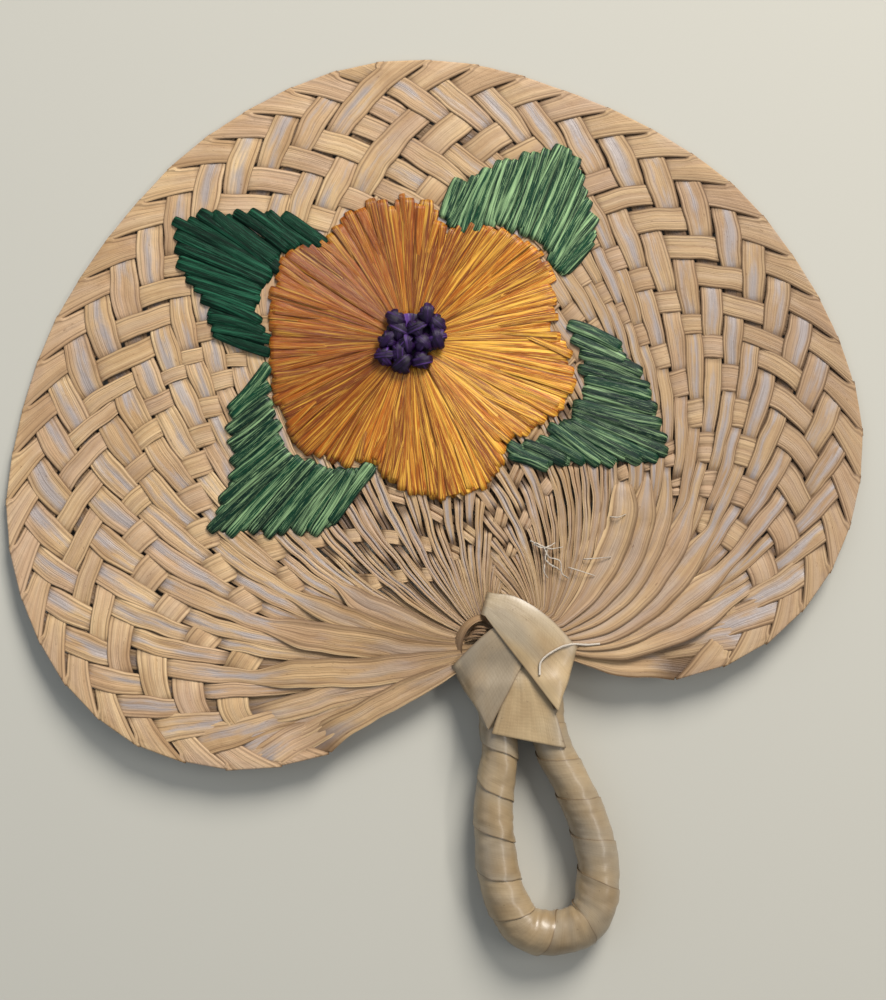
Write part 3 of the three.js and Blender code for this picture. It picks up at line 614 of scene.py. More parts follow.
# Where two paths cross, as lengths along each.
def crossingOf(a, b):
    p, r = a["path"][:-1], np.diff(a["path"], axis=0)
    q, s = b["path"][:-1], np.diff(b["path"], axis=0)
    cross = r[:, None, 0] * s[None, :, 1] - r[:, None, 1] * s[None, :, 0]
    gap = q[None] - p[:, None]
    cross = np.where(np.abs(cross) < 1e-12, 1e-12, cross)
    t = (gap[..., 0] * s[None, :, 1] - gap[..., 1] * s[None, :, 0]) / cross
    u = (gap[..., 0] * r[:, None, 1] - gap[..., 1] * r[:, None, 0]) / cross
    hits = np.argwhere((t >= 0) & (t < 1) & (u >= 0) & (u < 1))
    if not len(hits):
        return None
    k, n = hits[-1]
    onA = a["run"][k] + t[k, n] * (a["run"][k + 1] - a["run"][k])
    onB = b["run"][n] + u[k, n] * (b["run"][n + 1] - b["run"][n])
    return onA, onB, p[k] + r[k] * t[k, n]


# Decides at every crossing which leg lies on top.
def crossAll():
    b = blade
    for out in legs[-1]:
        for back in legs[1][:out["order"]]:
            found = crossingOf(out, back)
            if found is None:
                continue
            onOut, onBack, spot = found
            past, away, turn = pastSeam(*spot), math.hypot(*spot), turnOf(spot)
            ray, weft = (out, back) if past < 0 else (back, out)
            if away < np.interp(turn, *looseReach[ray["side"]]):
                swap = float(smooth(past, -b["seamBlend"], b["seamBlend"]))
                level = b["level"] * (1 - 2 * swap)
                outLevel, backLevel = [min(value, value * b["looseDrop"]) for value in (level, -level)]
            else:
                # Near the throat only every second weft shows.
                if weft["order"] % 2 and turn < b["floatFrom"][ray["side"] > 0] and away < b["innerReach"]:
                    weft["levels"].append((onBack if weft is back else onOut, -b["hiddenDrop"] * b["level"]))
                    continue
                # Near the rim a weft goes over two rays and under two, further in over one and under two.
                depth = out["order"] - back["order"]
                shown = depth % 4 < 2 if depth <= b["twillRows"] else depth % b["thinRows"] == 2
                over = b["level"] if shown else -b["level"]
                outLevel = -over if ray is out else over
                backLevel = -outLevel
            out["levels"].append((onOut, outLevel))
            back["levels"].append((onBack, backLevel))


# Every few degrees one ray lies on top of its neighbours as a wide loose float.
def chooseFloats():
    rng = np.random.default_rng(5)
    for side in (-1, 1):
        start = blade["floatFrom"][side > 0]
        last = 999.0
        for leg in sorted(legs[side], key=lambda leg: -leg["turn"]):
            away = np.hypot(*leg["path"].T)
            leg["lean"] = float(turnOf(leg["path"])[np.argmin(np.abs(away - 62))])
            if leg["lean"] >= start and last - leg["turn"] >= blade["floatTurn"] * rng.uniform(0.85, 1.15):
                leg["float"] = True
                last = leg["turn"]


# Height above or below the middle of the blade, along a leg, held level on each crossing, and how far the
# leg lies open from 0 to 1.
def heightsOf(leg):
    b = blade
    run = leg["run"]
    rayAtRim = (pastSeam(*leg["end"]) < 0) == (leg["side"] < 0)
    atRim = -b["level"] * 0.8 if rayAtRim else b["level"] * 0.8
    marks = sorted(leg["levels"]) + [(run[-1], atRim)]
    place, level = np.array([(0.0, marks[0][1])] + marks).T
    at = np.clip(np.searchsorted(place, run, side="right") - 1, 0, len(place) - 2)
    share = np.clip((run - place[at]) / np.maximum(place[at + 1] - place[at], 1e-6), 0, 1)
    # A strip stays up over the whole width of what it crosses.
    falling = level[at] > level[at + 1]
    ramp = np.where(falling, smooth(share, 0.38, 0.74), smooth(share, 0.26, 0.62))
    height = level[at] + (level[at + 1] - level[at]) * ramp
    arch = np.where((level[at] > 0) & (level[at + 1] > 0), np.sin(np.pi * share), 0)
    lens = 0.25 + 0.25 * height / b["level"] + 0.5 * arch
    height = height + b["bulge"] * arch
    window = np.array([1, 2, 3, 4, 3, 2, 1]) / 16
    soft, lens = [np.convolve(np.concatenate([[row[0]] * 3, row, [row[-1]] * 3]), window, "valid")
                  for row in (height, lens)]
    near = 1 - smooth(np.hypot(*leg["path"].T), 60, 90)
    return soft + (height - soft) * near, np.clip(lens, 0, 1)


# Mean distance to the legs on both sides.
def pitchOf(leg):
    gaps = []
    for step in (-1, 1):
        other = leg["order"] + step
        if 0 <= other < blade["strips"]:
            path = legs[leg["side"]][other]["path"]
            gaps.append(np.sqrt(((leg["path"][:, None] - path[None]) ** 2).sum(-1)).min(1))
    return np.mean(gaps, axis=0)


# Height of a strip's skin over its middle, across v and along run.
def crownOf(seed, run, v, narrow, ray, inner, hidden):
    b = blade
    v, size = v[None], np.abs(v[None])
    crown = -b["droop"] * size ** 5 * (narrow * (1 - 0.8 * hidden))[:, None]
    # Lengthwise creases that come and go.
    for n in range(b["creases"]):
        centre = np.random.default_rng(seed * 5 + n).uniform(-0.6, 0.6)
        centre = centre + 0.12 * wander(seed + n * 40, run, 40)
        deep = b["creaseDeep"] * np.clip(wander(seed + n * 70 + 9, run, 22) + 0.2, -0.5, 1)
        deep = (deep * narrow * (0.35 + 0.65 * ray))[:, None]
        crown = crown - deep * dent(v - centre[:, None], b["creaseWide"])
    # Near the throat the strips have split lengthwise.
    slit = 0.25 * wander(seed + 720, run, 50)
    split = b["splitDeep"] * inner * smooth(wander(seed + 730, run, 60), -0.5, 0.1)
    crown = crown - split[:, None] * dent(v - slit[:, None], b["splitWide"])
    # A turned-in seam along both edges, and a hollow down the middle.
    crown = crown + narrow[:, None] * (b["edgeHigh"] * dent(size - 0.86, 0.09)
                                       - b["seamDeep"] * dent(size - 0.70, 0.07))
    hollow = b["hollowDeep"] * (0.6 + 0.6 * wander(seed + 650, run, 45)) * ray
    return crown - (hollow * narrow)[:, None] * dent(v, b["hollowWide"])


# Rows of points for one leg, from the throat to the rim.
def rowsOf(leg):
    b = blade
    path, run, side = leg["path"], leg["run"], leg["side"]
    seed = leg["order"] * 2 + (side > 0)
    away, turn = np.hypot(path[:, 0], path[:, 1]), turnOf(path)
    height, lens = heightsOf(leg)
    # Low, the height share, becomes painted shade in the leaf material where a strip lies under another.
    low = height / b["level"]
    pitch = pitchOf(leg)
    ray = smooth(pastSeam(path[:, 0], path[:, 1]) * side, -5, 5)
    start = b["floatFrom"][side > 0]
    inner = (1 - smooth(turn, start - 5, start + 3)) * (1 - smooth(away, 76, 112))
    rayWide = pitch * (b["pinch"] + (b["rayCover"] - b["pinch"]) * lens)
    rayWide = rayWide + (pitch * b["innerCover"] * (1 + 0.3 * wander(seed + 300, run, 20)) - rayWide) * inner
    weftWide = pitch * (b["weftCover"] + 0.35 * (1 - smooth(away, 40, 90)))
    # Every second weft shows near the throat, and is as wide as two there.
    hidden = (1 - ray) * (1 - smooth(turn, 60, 68)) * (1 - smooth(away, 66, 96))
    weftWide = weftWide + (np.minimum(weftWide, b["weftPair"][leg["order"] % 2]) - weftWide) * hidden
    wide = np.clip(weftWide + (rayWide - weftWide) * ray, b["least"], b["full"])
    # The outermost strips stay wide.
    outer = smooth(leg["turn"], 100, 108)
    least, more = b["outerWide"]
    outerWide = least + more * (1 - smooth(run[-1] - run, 12, 50))
    wide = np.maximum(wide, outer * smooth(away, 20, 50) * outerWide)
    reach = np.interp(turn, *looseReach[side])
    loose = (1 - smooth(away, reach - 14, reach + 4)) * ray * smooth(run[-1] - run, 8, 26)
    tilt = b["roll"] * wander(seed + 900, run, 26) * (0.5 + ray)
    ahead = unit(np.gradient(path, axis=0))
    left = leftOf(ahead)
    if leg["float"]:
        fan = smooth(away, 10, 44)
        least = b["least"] * 1.8
        full = b["floatWide"] * np.random.default_rng(seed + 60).uniform(0.8, 1.12)
        wide = wide + (least + (full - least) * fan - wide) * loose
        height = height + b["floatRise"] * loose * smooth(away, 8, 30)
        low = low + (0.7 - low) * loose
        tilt = tilt + side * b["tip"] / np.maximum(away * math.radians(b["floatTurn"]), 2.4) * loose
        sway = b["sway"] * wander(seed + 800, run, 60) * loose * smooth(away, 16, 44)
        path = path + left * sway[:, None]
    elif leg["lean"] > start:
        height = height - b["sink"] * loose * smooth(away, 14, 34)
        low = low + (-0.4 - low) * loose
    else:
        height = height + b["jostle"] * ((leg["order"] % 3) - 1) * (1 - smooth(away, 16, 44))
    slant = smooth(run, run[-1] - b["slantRun"], run[-1]) / math.tan(math.radians(b["rimAngle"]))
    v = np.linspace(-1, 1, b["columns"])
    v = np.sign(v) * np.abs(v) ** 0.8
    across = left + side * ahead * slant[:, None]
    plan = path[:, None] + across[:, None] * (wide / 2)[:, None, None] * v[None, :, None]
    crown = crownOf(seed, run, v, np.clip(wide / 8, 0.25, 1), ray, inner, hidden)
    z = lift(plan[..., 0], plan[..., 1]) + b["base"] + height[:, None] + crown
    z = z - (tilt * wide / 2)[:, None] * v[None] * side
    grid = raised(plan, np.maximum(z, b["thick"] / 2 + 0.02))
    return grid, v, np.stack([ray, np.clip(low, -1, 1.4), loose], -1)


def makeStrips():
    for out, back in zip(legs[-1], legs[1]):
        order = out["order"]
        going, v, goingSeat = rowsOf(out)
        coming, _, comingSeat = rowsOf(back)
        coming, comingSeat = coming[::-1], comingSeat[::-1]
        # The strip turns over in a half circle at the rim.
        low, high = going[-1], coming[0]
        outward = np.array([*out["outward"], 0.0])
        radius = np.abs(high[:, 2] - low[:, 2]) / 2
        turnUp = np.sign(high[:, 2] - low[:, 2])
        bend = []
        for angle in np.linspace(0, math.pi, 7)[1:-1]:
            row = low + (high - low) * (angle / math.pi)
            row[:, 2] = (low[:, 2] + high[:, 2]) / 2 - turnUp * radius * math.cos(angle)
            bend.append(row + outward * radius[:, None] * math.sin(angle))
        grid = np.concatenate([going, np.array(bend), coming])
        run = lengthsAlong(grid[:, blade["columns"] // 2])
        turned = np.linspace(goingSeat[-1], comingSeat[0], len(bend) + 2)[1:-1]
        seat = np.concatenate([goingSeat, turned, comingSeat])
        coords = lanesOf(run[:, None], v[None], float(order), *seat.T[:, :, None])
        name = f"strip_{order + 1:02d}"
        makePiece(name, [slabOf(grid, blade["thick"], coords)], leafFinish, "leaf_" + name)


crossAll()
chooseFloats()
makeStrips()
print("strips plaited")


# The flower: straight stitches of dyed raffia laid over the blade.
flower = {
    "radius": 61, "middle": (-0.093 * blade["wide"], 0.444 * blade["long"]), "seat": 2.0, "pad": 1.1,
    "thick": 0.3, "dive": 0.9, "crowd": 0.144, "creaseDeep": 0.20, "longCount": 92, "shortCount": 46,
    "eyeEdge": 0.11, "sharp": 60,
}
petalStitch = {"wide": 4.7, "root": 0.22, "steps": 22, "columns": 9, "crown": 0.52}
leafStitch = {"wide": 4.6, "root": 0.85, "steps": 20, "columns": 11, "crown": 0.7}
# Direction in degrees, and how far the petals reach there in hundredths of the flower's radius.
petalEdge = [
    (1, 84), (12, 90), (25, 93), (40, 88), (55, 81), (66, 67), (78, 82), (89, 86), (94, 78), (99, 87),
    (112, 84), (125, 76), (137, 90), (158, 86), (178, 82), (200, 87), (222, 91), (238, 82), (249, 75),
    (262, 88), (278, 95), (294, 97), (309, 81), (323, 92), (340, 101), (352, 92),
]
# Both ends of each stitch of the leaves, in mm from the middle of the flower.
leafEnds = {
    "upper_left": [
        (-40, 48, -26, 36), (-46, 49, -31, 36), (-52, 50, -36, 36), (-59, 50, -40, 34), (-66, 51, -44, 32),
        (-72, 51, -44, 28), (-80, 49, -46, 28), (-80, 45, -47, 26), (-81, 39, -50, 24), (-80, 34, -51, 22),
        (-77, 29, -52, 19), (-75, 25, -53, 15), (-72, 21, -53, 10), (-71, 13, -50, 6), (-69, 11, -50, 4),
        (-69, 9, -50, 0)],
    "upper_right": [
        (22, 55, 15, 41), (28, 56, 17, 38), (33, 59, 21, 36), (37, 60, 26, 36), (41, 61, 31, 38),
        (46, 63, 34, 38), (49, 63, 37, 36), (54, 64, 41, 36), (59, 64, 43, 34), (61, 63, 46, 32),
        (64, 60, 49, 30), (65, 54, 50, 28), (66, 49, 51, 26), (68, 44, 52, 23), (69, 38, 53, 21),
        (68, 33, 53, 19), (66, 29, 56, 19)],
    "lower_left": [
        (-65, -19, -50, -5), (-65, -22, -51, -12), (-66, -26, -50, -17), (-67, -31, -50, -20),
        (-66, -38, -48, -25), (-66, -43, -47, -30), (-71, -52, -46, -34), (-76, -61, -44, -36),
        (-70, -63, -41, -38), (-62, -62, -37, -39), (-55, -64, -34, -42), (-50, -64, -30, -43),
        (-45, -64, -26, -43), (-40, -65, -23, -43), (-33, -62, -17, -42)],
    "lower_right": [
        (55, 0, 74, -9), (57, -4, 76, -13), (59, -9, 79, -18), (59, -14, 82, -23), (60, -18, 82, -27),
        (59, -23, 84, -31), (55, -26, 86, -36), (55, -28, 86, -41), (55, -30, 86, -46), (54, -32, 84, -49),
        (53, -33, 78, -49), (51, -34, 73, -49), (49, -34, 67, -49), (47, -35, 62, -48), (42, -38, 57, -48),
        (37, -39, 50, -48), (32, -39, 46, -47), (31, -43, 44, -48)],
}
leafShaded = {"upper_left": 0.1, "upper_right": 0.0, "lower_left": 0.3, "lower_right": 0.5}


# How far the petals reach in a direction, in mm.
def petalReach(angle):
    angles = np.array([a for a, _ in petalEdge] + [petalEdge[0][0] + 360.0])
    reach = np.array([r for _, r in petalEdge] + [petalEdge[0][1]], float)
    angle = (angle - angles[0]) % 360 + angles[0]
    at = np.clip(np.searchsorted(angles, angle, side="right") - 1, 0, len(angles) - 2)
    share = smooth((angle - angles[at]) / (angles[at + 1] - angles[at]), -0.15, 1.15)
    return (reach[at] + (reach[at + 1] - reach[at]) * share) / 100 * flower["radius"]


# One flat stitch from a to b: crowned across, its ends turning down into the blade. Wide is a share of the
# usual width, bow bends the stitch sideways, twist tips it, and its start comes up slowly over ease.
def stitchOf(kind, a, b, wide, rise, number, bow, twist, shaded, ease=0.0, root=None):
    rng = np.random.default_rng(number + 7000)
    wide, root = kind["wide"] * wide, root or kind["root"]
    t = np.linspace(0, 1, kind["steps"])
    t = t - flower["crowd"] / math.pi * np.sin(2 * math.pi * t)
    length = np.linalg.norm(b - a)
    left = leftOf((b - a) / max(length, 1e-6))
    middle = a + np.outer(t, b - a) + np.outer(np.sin(np.pi * t) * bow, left)
    ends = np.minimum(t, 1 - t) * length
    body = np.clip(ends / (wide * 0.8), 0, 1)
    half = wide / 2 * (0.30 + 0.70 * np.sqrt(1 - (1 - body) ** 2)) * (root + (1 - root) * t ** 0.8)
    half = half * (1 + 0.08 * wander(number, t * length, 12))
    v = np.linspace(-1, 1, kind["columns"])
    plan = middle[:, None] + left[None, None] * (half[:, None] * v[None])[..., None]
    hump = smooth(ends, -0.3, 1.9)
    z = rise * hump - flower["dive"] * (1 - hump)
    if ease:
        z = z - 1.1 * (1 - smooth(t * length, 0, ease))
    fat = np.clip(half / 2, 0.2, 1.3)
    z = z[:, None] - kind["crown"] * np.abs(v[None]) ** 2.2 * fat[:, None] + twist * v[None] * half[:, None]
    for n in range(2):
        centre = rng.uniform(-0.65, 0.65) + 0.15 * wander(number + n * 31, t * length, 20)
        deep = flower["creaseDeep"] * rng.uniform(0.3, 1) * fat
        z = z - deep[:, None] * dent(v[None] - centre[:, None], 0.2)
    grid = raised(plan, z + lift(plan[..., 0], plan[..., 1]))
    coords = lanesOf((t * length)[:, None], v[None], float(number), shaded, 0.0, 0.0)
    return slabOf(grid, flower["thick"], coords)


def makePetals():
    rng = np.random.default_rng(21)
    middle = np.array(flower["middle"])
    parts = []

    def stitch(angle, inner, outer, number, high, wide=1.0, root=None, ease=0.0):
        turn = math.radians(angle)
        way = np.array([math.cos(turn), math.sin(turn)])
        reach = petalReach(angle)
        off = leftOf(way) * rng.normal(0, 0.4)
        skew = turn + math.radians(rng.normal(0, 5))
        start = middle + np.array([math.cos(skew), math.sin(skew)]) * reach * inner
        stop = middle + way * (reach + outer) + off
        # Painted shade, deepest on the upper left petals.
        shaded = 0.5 + 0.5 * math.cos(turn - math.radians(150))
        rise = flower["seat"] + flower["pad"] * high
        parts.append(stitchOf(petalStitch, start, stop, wide * rng.uniform(0.78, 1.25), rise, number,
                              rng.normal(0, 0.5), rng.normal(0, 0.10), shaded, ease, root))

    count, edge = flower["longCount"], flower["eyeEdge"]
    for n in range(count):
        stitch(360 * (n + 0.5) / count, edge, rng.uniform(-2.5, -1.2), 300 + n, 0.25)
    for n in range(count):
        angle = 360 * (n + rng.uniform(-0.25, 0.25)) / count
        stitch(angle, edge + rng.uniform(0, 0.05), rng.uniform(-1.3, 1.0), n, 0.55 + 0.35 * rng.random())
    count = flower["shortCount"]
    for n in range(count):
        angle = 360 * (n + 0.5 + rng.uniform(-0.4, 0.4)) / count
        stitch(angle, rng.uniform(0.3, 0.6), rng.uniform(-1.6, 1.2), 500 + n, 0.85 + 0.3 * rng.random(),
               0.6, 0.12, 14)
    makePiece("petals", parts, petalFinish, "flower_petals", flower["sharp"])


def makeLeaves():
    middle = np.array(flower["middle"])
    for seed, (side, ends) in enumerate(leafEnds.items()):
        rng = np.random.default_rng(40 + seed)
        parts = []
        ends = np.array(ends, float)
        between = (ends[1:] + ends[:-1]) / 2
        for layer, rows in ((0, between), (1, ends)):
            for number, row in enumerate(rows):
                a, b = middle + row[:2], middle + row[2:]
                tuck = (b - a) / np.linalg.norm(b - a)
                if layer == 0:
                    a, b = a + tuck * 0.3, b - tuck * 0.3
                else:
                    a, b = a - tuck * 1.1 + rng.normal(0, 0.55, 2), b + tuck * 1.1 + rng.normal(0, 0.55, 2)
                rise = flower["seat"] + 0.25 + 0.6 * layer + 0.3 * rng.random()
                parts.append(stitchOf(leafStitch, a, b, rng.uniform(0.78, 1.2), rise,
                                      900 + seed * 100 + layer * 40 + number, rng.normal(0, 0.5),
                                      rng.normal(0.04, 0.10), leafShaded[side]))
        # The upper left leaf takes the darker dye copy, as painted shade.
        finish = shadedGreenFinish if side == "upper_left" else greenFinish
        makePiece(f"leaf_{side}_stitches", parts, finish, "leaf_" + side, flower["sharp"])


eye = {
    "ball": 2.7, "squash": 0.66, "straps": 4, "strapWide": 2.8, "strapThick": 0.45, "strapEnd": 1.8,
    "bedWide": 10.3, "bedShares": (0.9, 0.92, 0.8, 0.4), "bedLevels": (-0.6, 0.6, 1.0, 1.1),
}
# The knots of the eye, in mm from the middle of the flower.
knotPlaces = [
    (-4.4, 7.7), (6.4, 8.5), (9.7, 4.8), (2.7, 3.6), (-3.6, 3.4), (-7.8, 0.8), (-1.5, -1.4), (4.3, -1.4),
    (9.6, -0.2), (-9.0, -5.0), (-3.2, -8.2), (3.6, -7.4), (-4.4, -4.0),
]


# A strap of raffia drawn over a small ball, turned and set off to one side.
def strapOver(centre, turn, offset, radius, wide, number):
    angle = np.linspace(-eye["strapEnd"], eye["strapEnd"], 19)
    v = np.linspace(-1, 1, 7)
    way = np.array([math.cos(turn), math.sin(turn), 0])
    side = np.array([-way[1], way[0], 0])
    pinch = 1 - 0.35 * np.abs(angle / eye["strapEnd"]) ** 2
    aside = offset + v[None] * wide / 2 * pinch[:, None]
    ring = np.sqrt(np.maximum(radius ** 2 - aside ** 2, 0.3)) - 0.25 * np.abs(v[None]) ** 3
    ring = ring - 0.16 * dent(v[None] - 0.2, 0.2)
    grid = (centre + way * (np.sin(angle)[:, None] * ring)[..., None] + side * aside[..., None]
            + np.array([0, 0, eye["squash"]]) * (np.cos(angle)[:, None] * ring)[..., None])
    return slabOf(grid, eye["strapThick"], lanesOf((angle * radius)[:, None], v[None], float(number)))


# Knots of folded raffia set close together on a dark bed.
def makeEye():
    rng = np.random.default_rng(3)
    middle = np.array(flower["middle"])
    base = float(lift(*middle)) + flower["seat"]
    levels = base + np.array(eye["bedLevels"])
    bed = raised(np.broadcast_to(middle, (len(levels), 2)), levels)
    parts = [tubeOf(bed, np.array(eye["bedShares"]) * eye["bedWide"], 40, 90.0)]
    for number, (x, y) in enumerate(knotPlaces):
        centre = np.array([middle[0] + x, middle[1] + y, base + 2.2 + rng.uniform(0, 0.9)])
        ball = eye["ball"] * rng.uniform(0.92, 1.08)
        share = np.linspace(-0.95, 0.98, 9)
        core = centre + np.outer(share, [0, 0, ball * eye["squash"]])
        parts.append(tubeOf(core, ball * np.sqrt(1 - share ** 2), 14, number + 60))
        turn = rng.uniform(0, math.pi)
        for layer in range(eye["straps"]):
            offset = rng.uniform(-0.35, 0.35) * ball
            radius = ball + 0.15 + 0.36 * layer
            parts.append(strapOver(centre, turn + layer * rng.uniform(0.85, 1.2), offset, radius,
                                   eye["strapWide"] * rng.uniform(0.75, 1.1), number * 5 + layer))
    makePiece("eye_knots", parts, eyeFinish, "flower_eye", flower["sharp"])


makePetals()
makeLeaves()
makeEye()
print("flower stitched")


# The handle: a loop wound with one ribbon. Grip is how deep the ribbon's earlier edge lies in the loop's
# skin, and step is how much higher its later edge is.
loop = {
    "wide": 35, "long": 103, "thick": 12.8, "more": 2.8, "high": 7.8, "ribbon": 0.3, "columns": 19,
    "turns": 12, "hiddenTurns": 0.75, "steps": 60, "lap": 0.14, "grip": 0.42, "step": 0.46, "frill": 0.10,
    "lump": 0.21, "crease": 0.07, "bendCrease": 0.10, "flat": 0.16, "fold": 0.14, "clear": 0.05,
    "legWide": 14,
}
loopShape = [
    (-25, -17), (-25, -38), (-34, -52), (-37, -66), (-34, -82), (-17, -96), (13, -100), (50, -96), (63, -83),
    (62, -70), (48, -53), (30, -38), (25, -29), (25, -17),
]
loopLine = outlineOf(loopShape, loop)


# Point on the loop's skin: share round the loop, turn round the leg, radius less depth.
def onLoop(share, turn, depth):
    here = pointsAt(loopLine, share)
    ahead = unit(pointsAt(loopLine, share + 0.004) - pointsAt(loopLine, share - 0.004))
    radius = (loop["thick"] + loop["more"] * np.sin(math.pi * np.clip(share, 0, 1)) ** 2) / 2 - depth
    out = here - leftOf(ahead) * (np.cos(turn) * radius)[..., None]
    return raised(out, loop["high"] + np.sin(turn) * radius)


def makeWrap():
    # The ribbon starts and ends out of sight, three quarters of a turn under the knot.
    steps = int((loop["turns"] + 2 * loop["hiddenTurns"]) * loop["steps"])
    rounds = np.linspace(-loop["hiddenTurns"], loop["turns"] + loop["hiddenTurns"], steps + 1)
    t = rounds / loop["turns"]
    pitch = 1 / (loop["turns"] + 1)
    v = np.linspace(-1, 1, loop["columns"])
    middle = pitch * (0.5 + rounds)
    wide = pitch * (1 + loop["lap"]) * (1 + 0.05 * wander(8, t, 0.05))
    share = middle[:, None] + wide[:, None] * v[None] / 2 + 0.0022 * wander(9, t, 0.02)[:, None]
    inside = np.clip(share, 0.004, 0.996)
    share = inside + (share - inside) * 0.03
    turns = np.broadcast_to((rounds * 2 * math.pi)[:, None], share.shape)
    # The later edge of each turn lies on the next one's earlier edge.
    depth = loop["grip"] - loop["step"] * (v[None] * 0.5 + 0.5) ** 1.6
    depth = depth - loop["frill"] * smooth(v, 0.9, 1.0)[None] * wander(11, t, 0.01)[:, None]
    lumps = np.sin(3 * turns + 3.2 * wander(33, share, 0.035))
    depth = depth + loop["lump"] * lumps * (0.6 + 0.4 * wander(34, share, 0.06))
    bend = dent(share - 0.5, 0.14)
    crease = np.stack([wander(60 + k // 2, t, 0.012) for k in range(loop["columns"])], -1)
    depth = depth + (loop["crease"] + loop["bendCrease"] * bend) * crease
    # Shallow flats where the ribbon was pulled tight, and folds on the inside of the bend.
    depth = depth + loop["flat"] * np.sin(share * 61 + 1.7 * np.sin(turns + 1.0)) * np.sin(turns + share * 17)
    folds = dent(np.cos(turns) + 1.0, 0.8) * bend
    depth = depth + loop["fold"] * folds * np.sin(share * 170)
    grid = onLoop(share, turns, depth)
    # The underside rests on the table.
    grid[..., 2] = np.maximum(grid[..., 2], loop["ribbon"] / 2 + loop["clear"])
    coords = lanesOf((rounds * math.pi * loop["legWide"])[:, None], v[None], 1.0)
    makePiece("wound_ribbon", [slabOf(grid, loop["ribbon"], coords)], wrapFinish, "handle_wrap", 40)


makeWrap()
print("handle wound")


# The knot: stalks gathered at the throat under three folded ribbons, the first of them lowest.
knot = {
    "wide": 21, "long": 17, "shoulder": 10.9, "crown": 3.4, "camber": 0.6, "camberReach": 1.2, "flank": 0.8,
    "legMiddle": 10.5, "legGap": 0.3, "thick": 0.5, "first": 0.7, "pitch": 1.1, "rows": 46, "columns": 25,
    "droop": 0.30, "ripple": 0.10, "fineRipple": 0.05, "sharp": 50,
}
# The two edges of each band, in hundredths of the knot's half width and half length.
bandRails = {
    "centre": ([(-14, -41), (-29, -106), (-52, -179)], [(24, -41), (48, -118), (67, -221)]),
    "left": ([(5, 53), (-37, 33), (-76, -3), (-105, -35)], [(29, -6), (7, -46), (-19, -97), (-57, -171)]),
    "right": ([(-33, 104), (5, 92), (57, 45), (97, -16)], [(-47, 59), (-17, 0), (19, -68), (58, -143)]),
}
# How far each band stands out as it turns round the knot's side, and how far down it goes there.
bandTurns = {"centre": (0.5, 12.0), "left": (1.3, 1.6), "right": (1.3, 1.6)}
topTurn = (1.3, 9.0)  # the right band's upper end


def knotFront(x, y, offset):
    k = knot
    share = (x / k["wide"]) ** 2 + (y / k["long"]) ** 2
    crown = k["shoulder"] + k["crown"] * np.maximum(1 - share, 0) + offset
    # Below the throat the front follows the two legs of the handle.
    beside = np.maximum(np.abs(x) - k["legMiddle"], 0)
    radius = loop["thick"] / 2 + offset + k["legGap"]
    flank = np.minimum(beside / radius, k["flank"])
    rise = np.sqrt(1 - flank ** 2)
    camber = k["camber"] * (1 - (x ** 2 + (y + k["long"]) ** 2) / (k["camberReach"] * k["wide"]) ** 2)
    leg = loop["high"] + radius * rise - (beside - flank * radius) * flank / rise + camber
    return crown + (leg - crown) * smooth(-y, 5, 15)


# Rows that carry a band over its last edge, out by reach and down to a height, as it goes round the knot.
def turnedEdge(grid, reach, down):
    last = grid[-1]
    edge = last[-1, :2] - last[0, :2]
    outward = leftOf(edge) / np.linalg.norm(edge)
    outward = outward * np.sign(np.dot(outward, (last - grid[-4])[len(last) // 2, :2]))
    reach = reach * (1 - 0.7 * smooth(-last[:, 1], 14, 22))
    bottom = np.minimum(last[:, 2] - 0.8, down)
    rows = []
    for angle in np.linspace(0, math.pi, 13)[1:]:
        row = last.copy()
        row[:, :2] += outward * (reach * math.sin(angle))[:, None]
        row[:, 2] = bottom + (last[:, 2] - bottom) * (1 + math.cos(angle)) / 2
        rows.append(row)
    under = rows[-1].copy()
    under[:, :2] -= outward * 1.5
    return np.array(rows + [under])


def makeBands():
    k = knot
    t, v = np.linspace(0, 1, k["rows"]), np.linspace(-1, 1, k["columns"])
    for layer, (side, rails) in enumerate(bandRails.items()):
        a, b = [pointsAt(outlineOf(rail, k), t) for rail in rails]
        plan = a[:, None] + (b - a)[:, None] * ((v + 1) / 2)[None, :, None]
        offset = k["first"] + layer * k["pitch"]
        z = knotFront(plan[..., 0], plan[..., 1], offset) - k["droop"] * np.abs(v[None]) ** 6
        z = z + k["ripple"] * wander(70 + layer, t, 0.5)[:, None] * np.cos(v * 4)[None]
        ripples = [wander(70 + layer + n // 3, t, 0.22) for n in range(k["columns"])]
        z = z + k["fineRipple"] * np.stack(ripples, -1)
        grid = raised(plan, z)
        if side == "right":
            grid = np.concatenate([turnedEdge(grid[::-1], *topTurn)[::-1], grid])
        grid = np.concatenate([grid, turnedEdge(grid, *bandTurns[side])])
        coords = lanesOf(lengthsAlong(grid[:, k["columns"] // 2])[:, None], v[None], layer + 2.0)
        # The left band takes the darker copy, as painted shade.
        finish = shadedBandFinish if side == "left" else bandFinish
        makePiece("band_" + side, [slabOf(grid, k["thick"], coords)], finish, "knot_band_" + side,
                  k["sharp"])


stalks = {
    "count": 150, "wide": 20, "long": 15, "high": 10.4, "fall": 2.2, "firstTurn": -28, "lastTurn": 208,
    "bedWide": 19.5, "bedLong": 15.5, "bedSides": 24, "frayed": 18, "curlWide": 1.5, "curlThick": 0.35,
}
# The bed that the stalks lie on: share of its size, and height.
bedLevels = [(0.7, 1.4), (0.92, 2.6), (1.0, 5.0), (0.98, 8.0), (0.82, 9.6), (0.4, 10.4)]
curlRoute = [(-20.6, -3.6), (-19.6, 2.2), (-16.6, 7.0), (-12.2, 9.2), (-7.6, 8.2)]


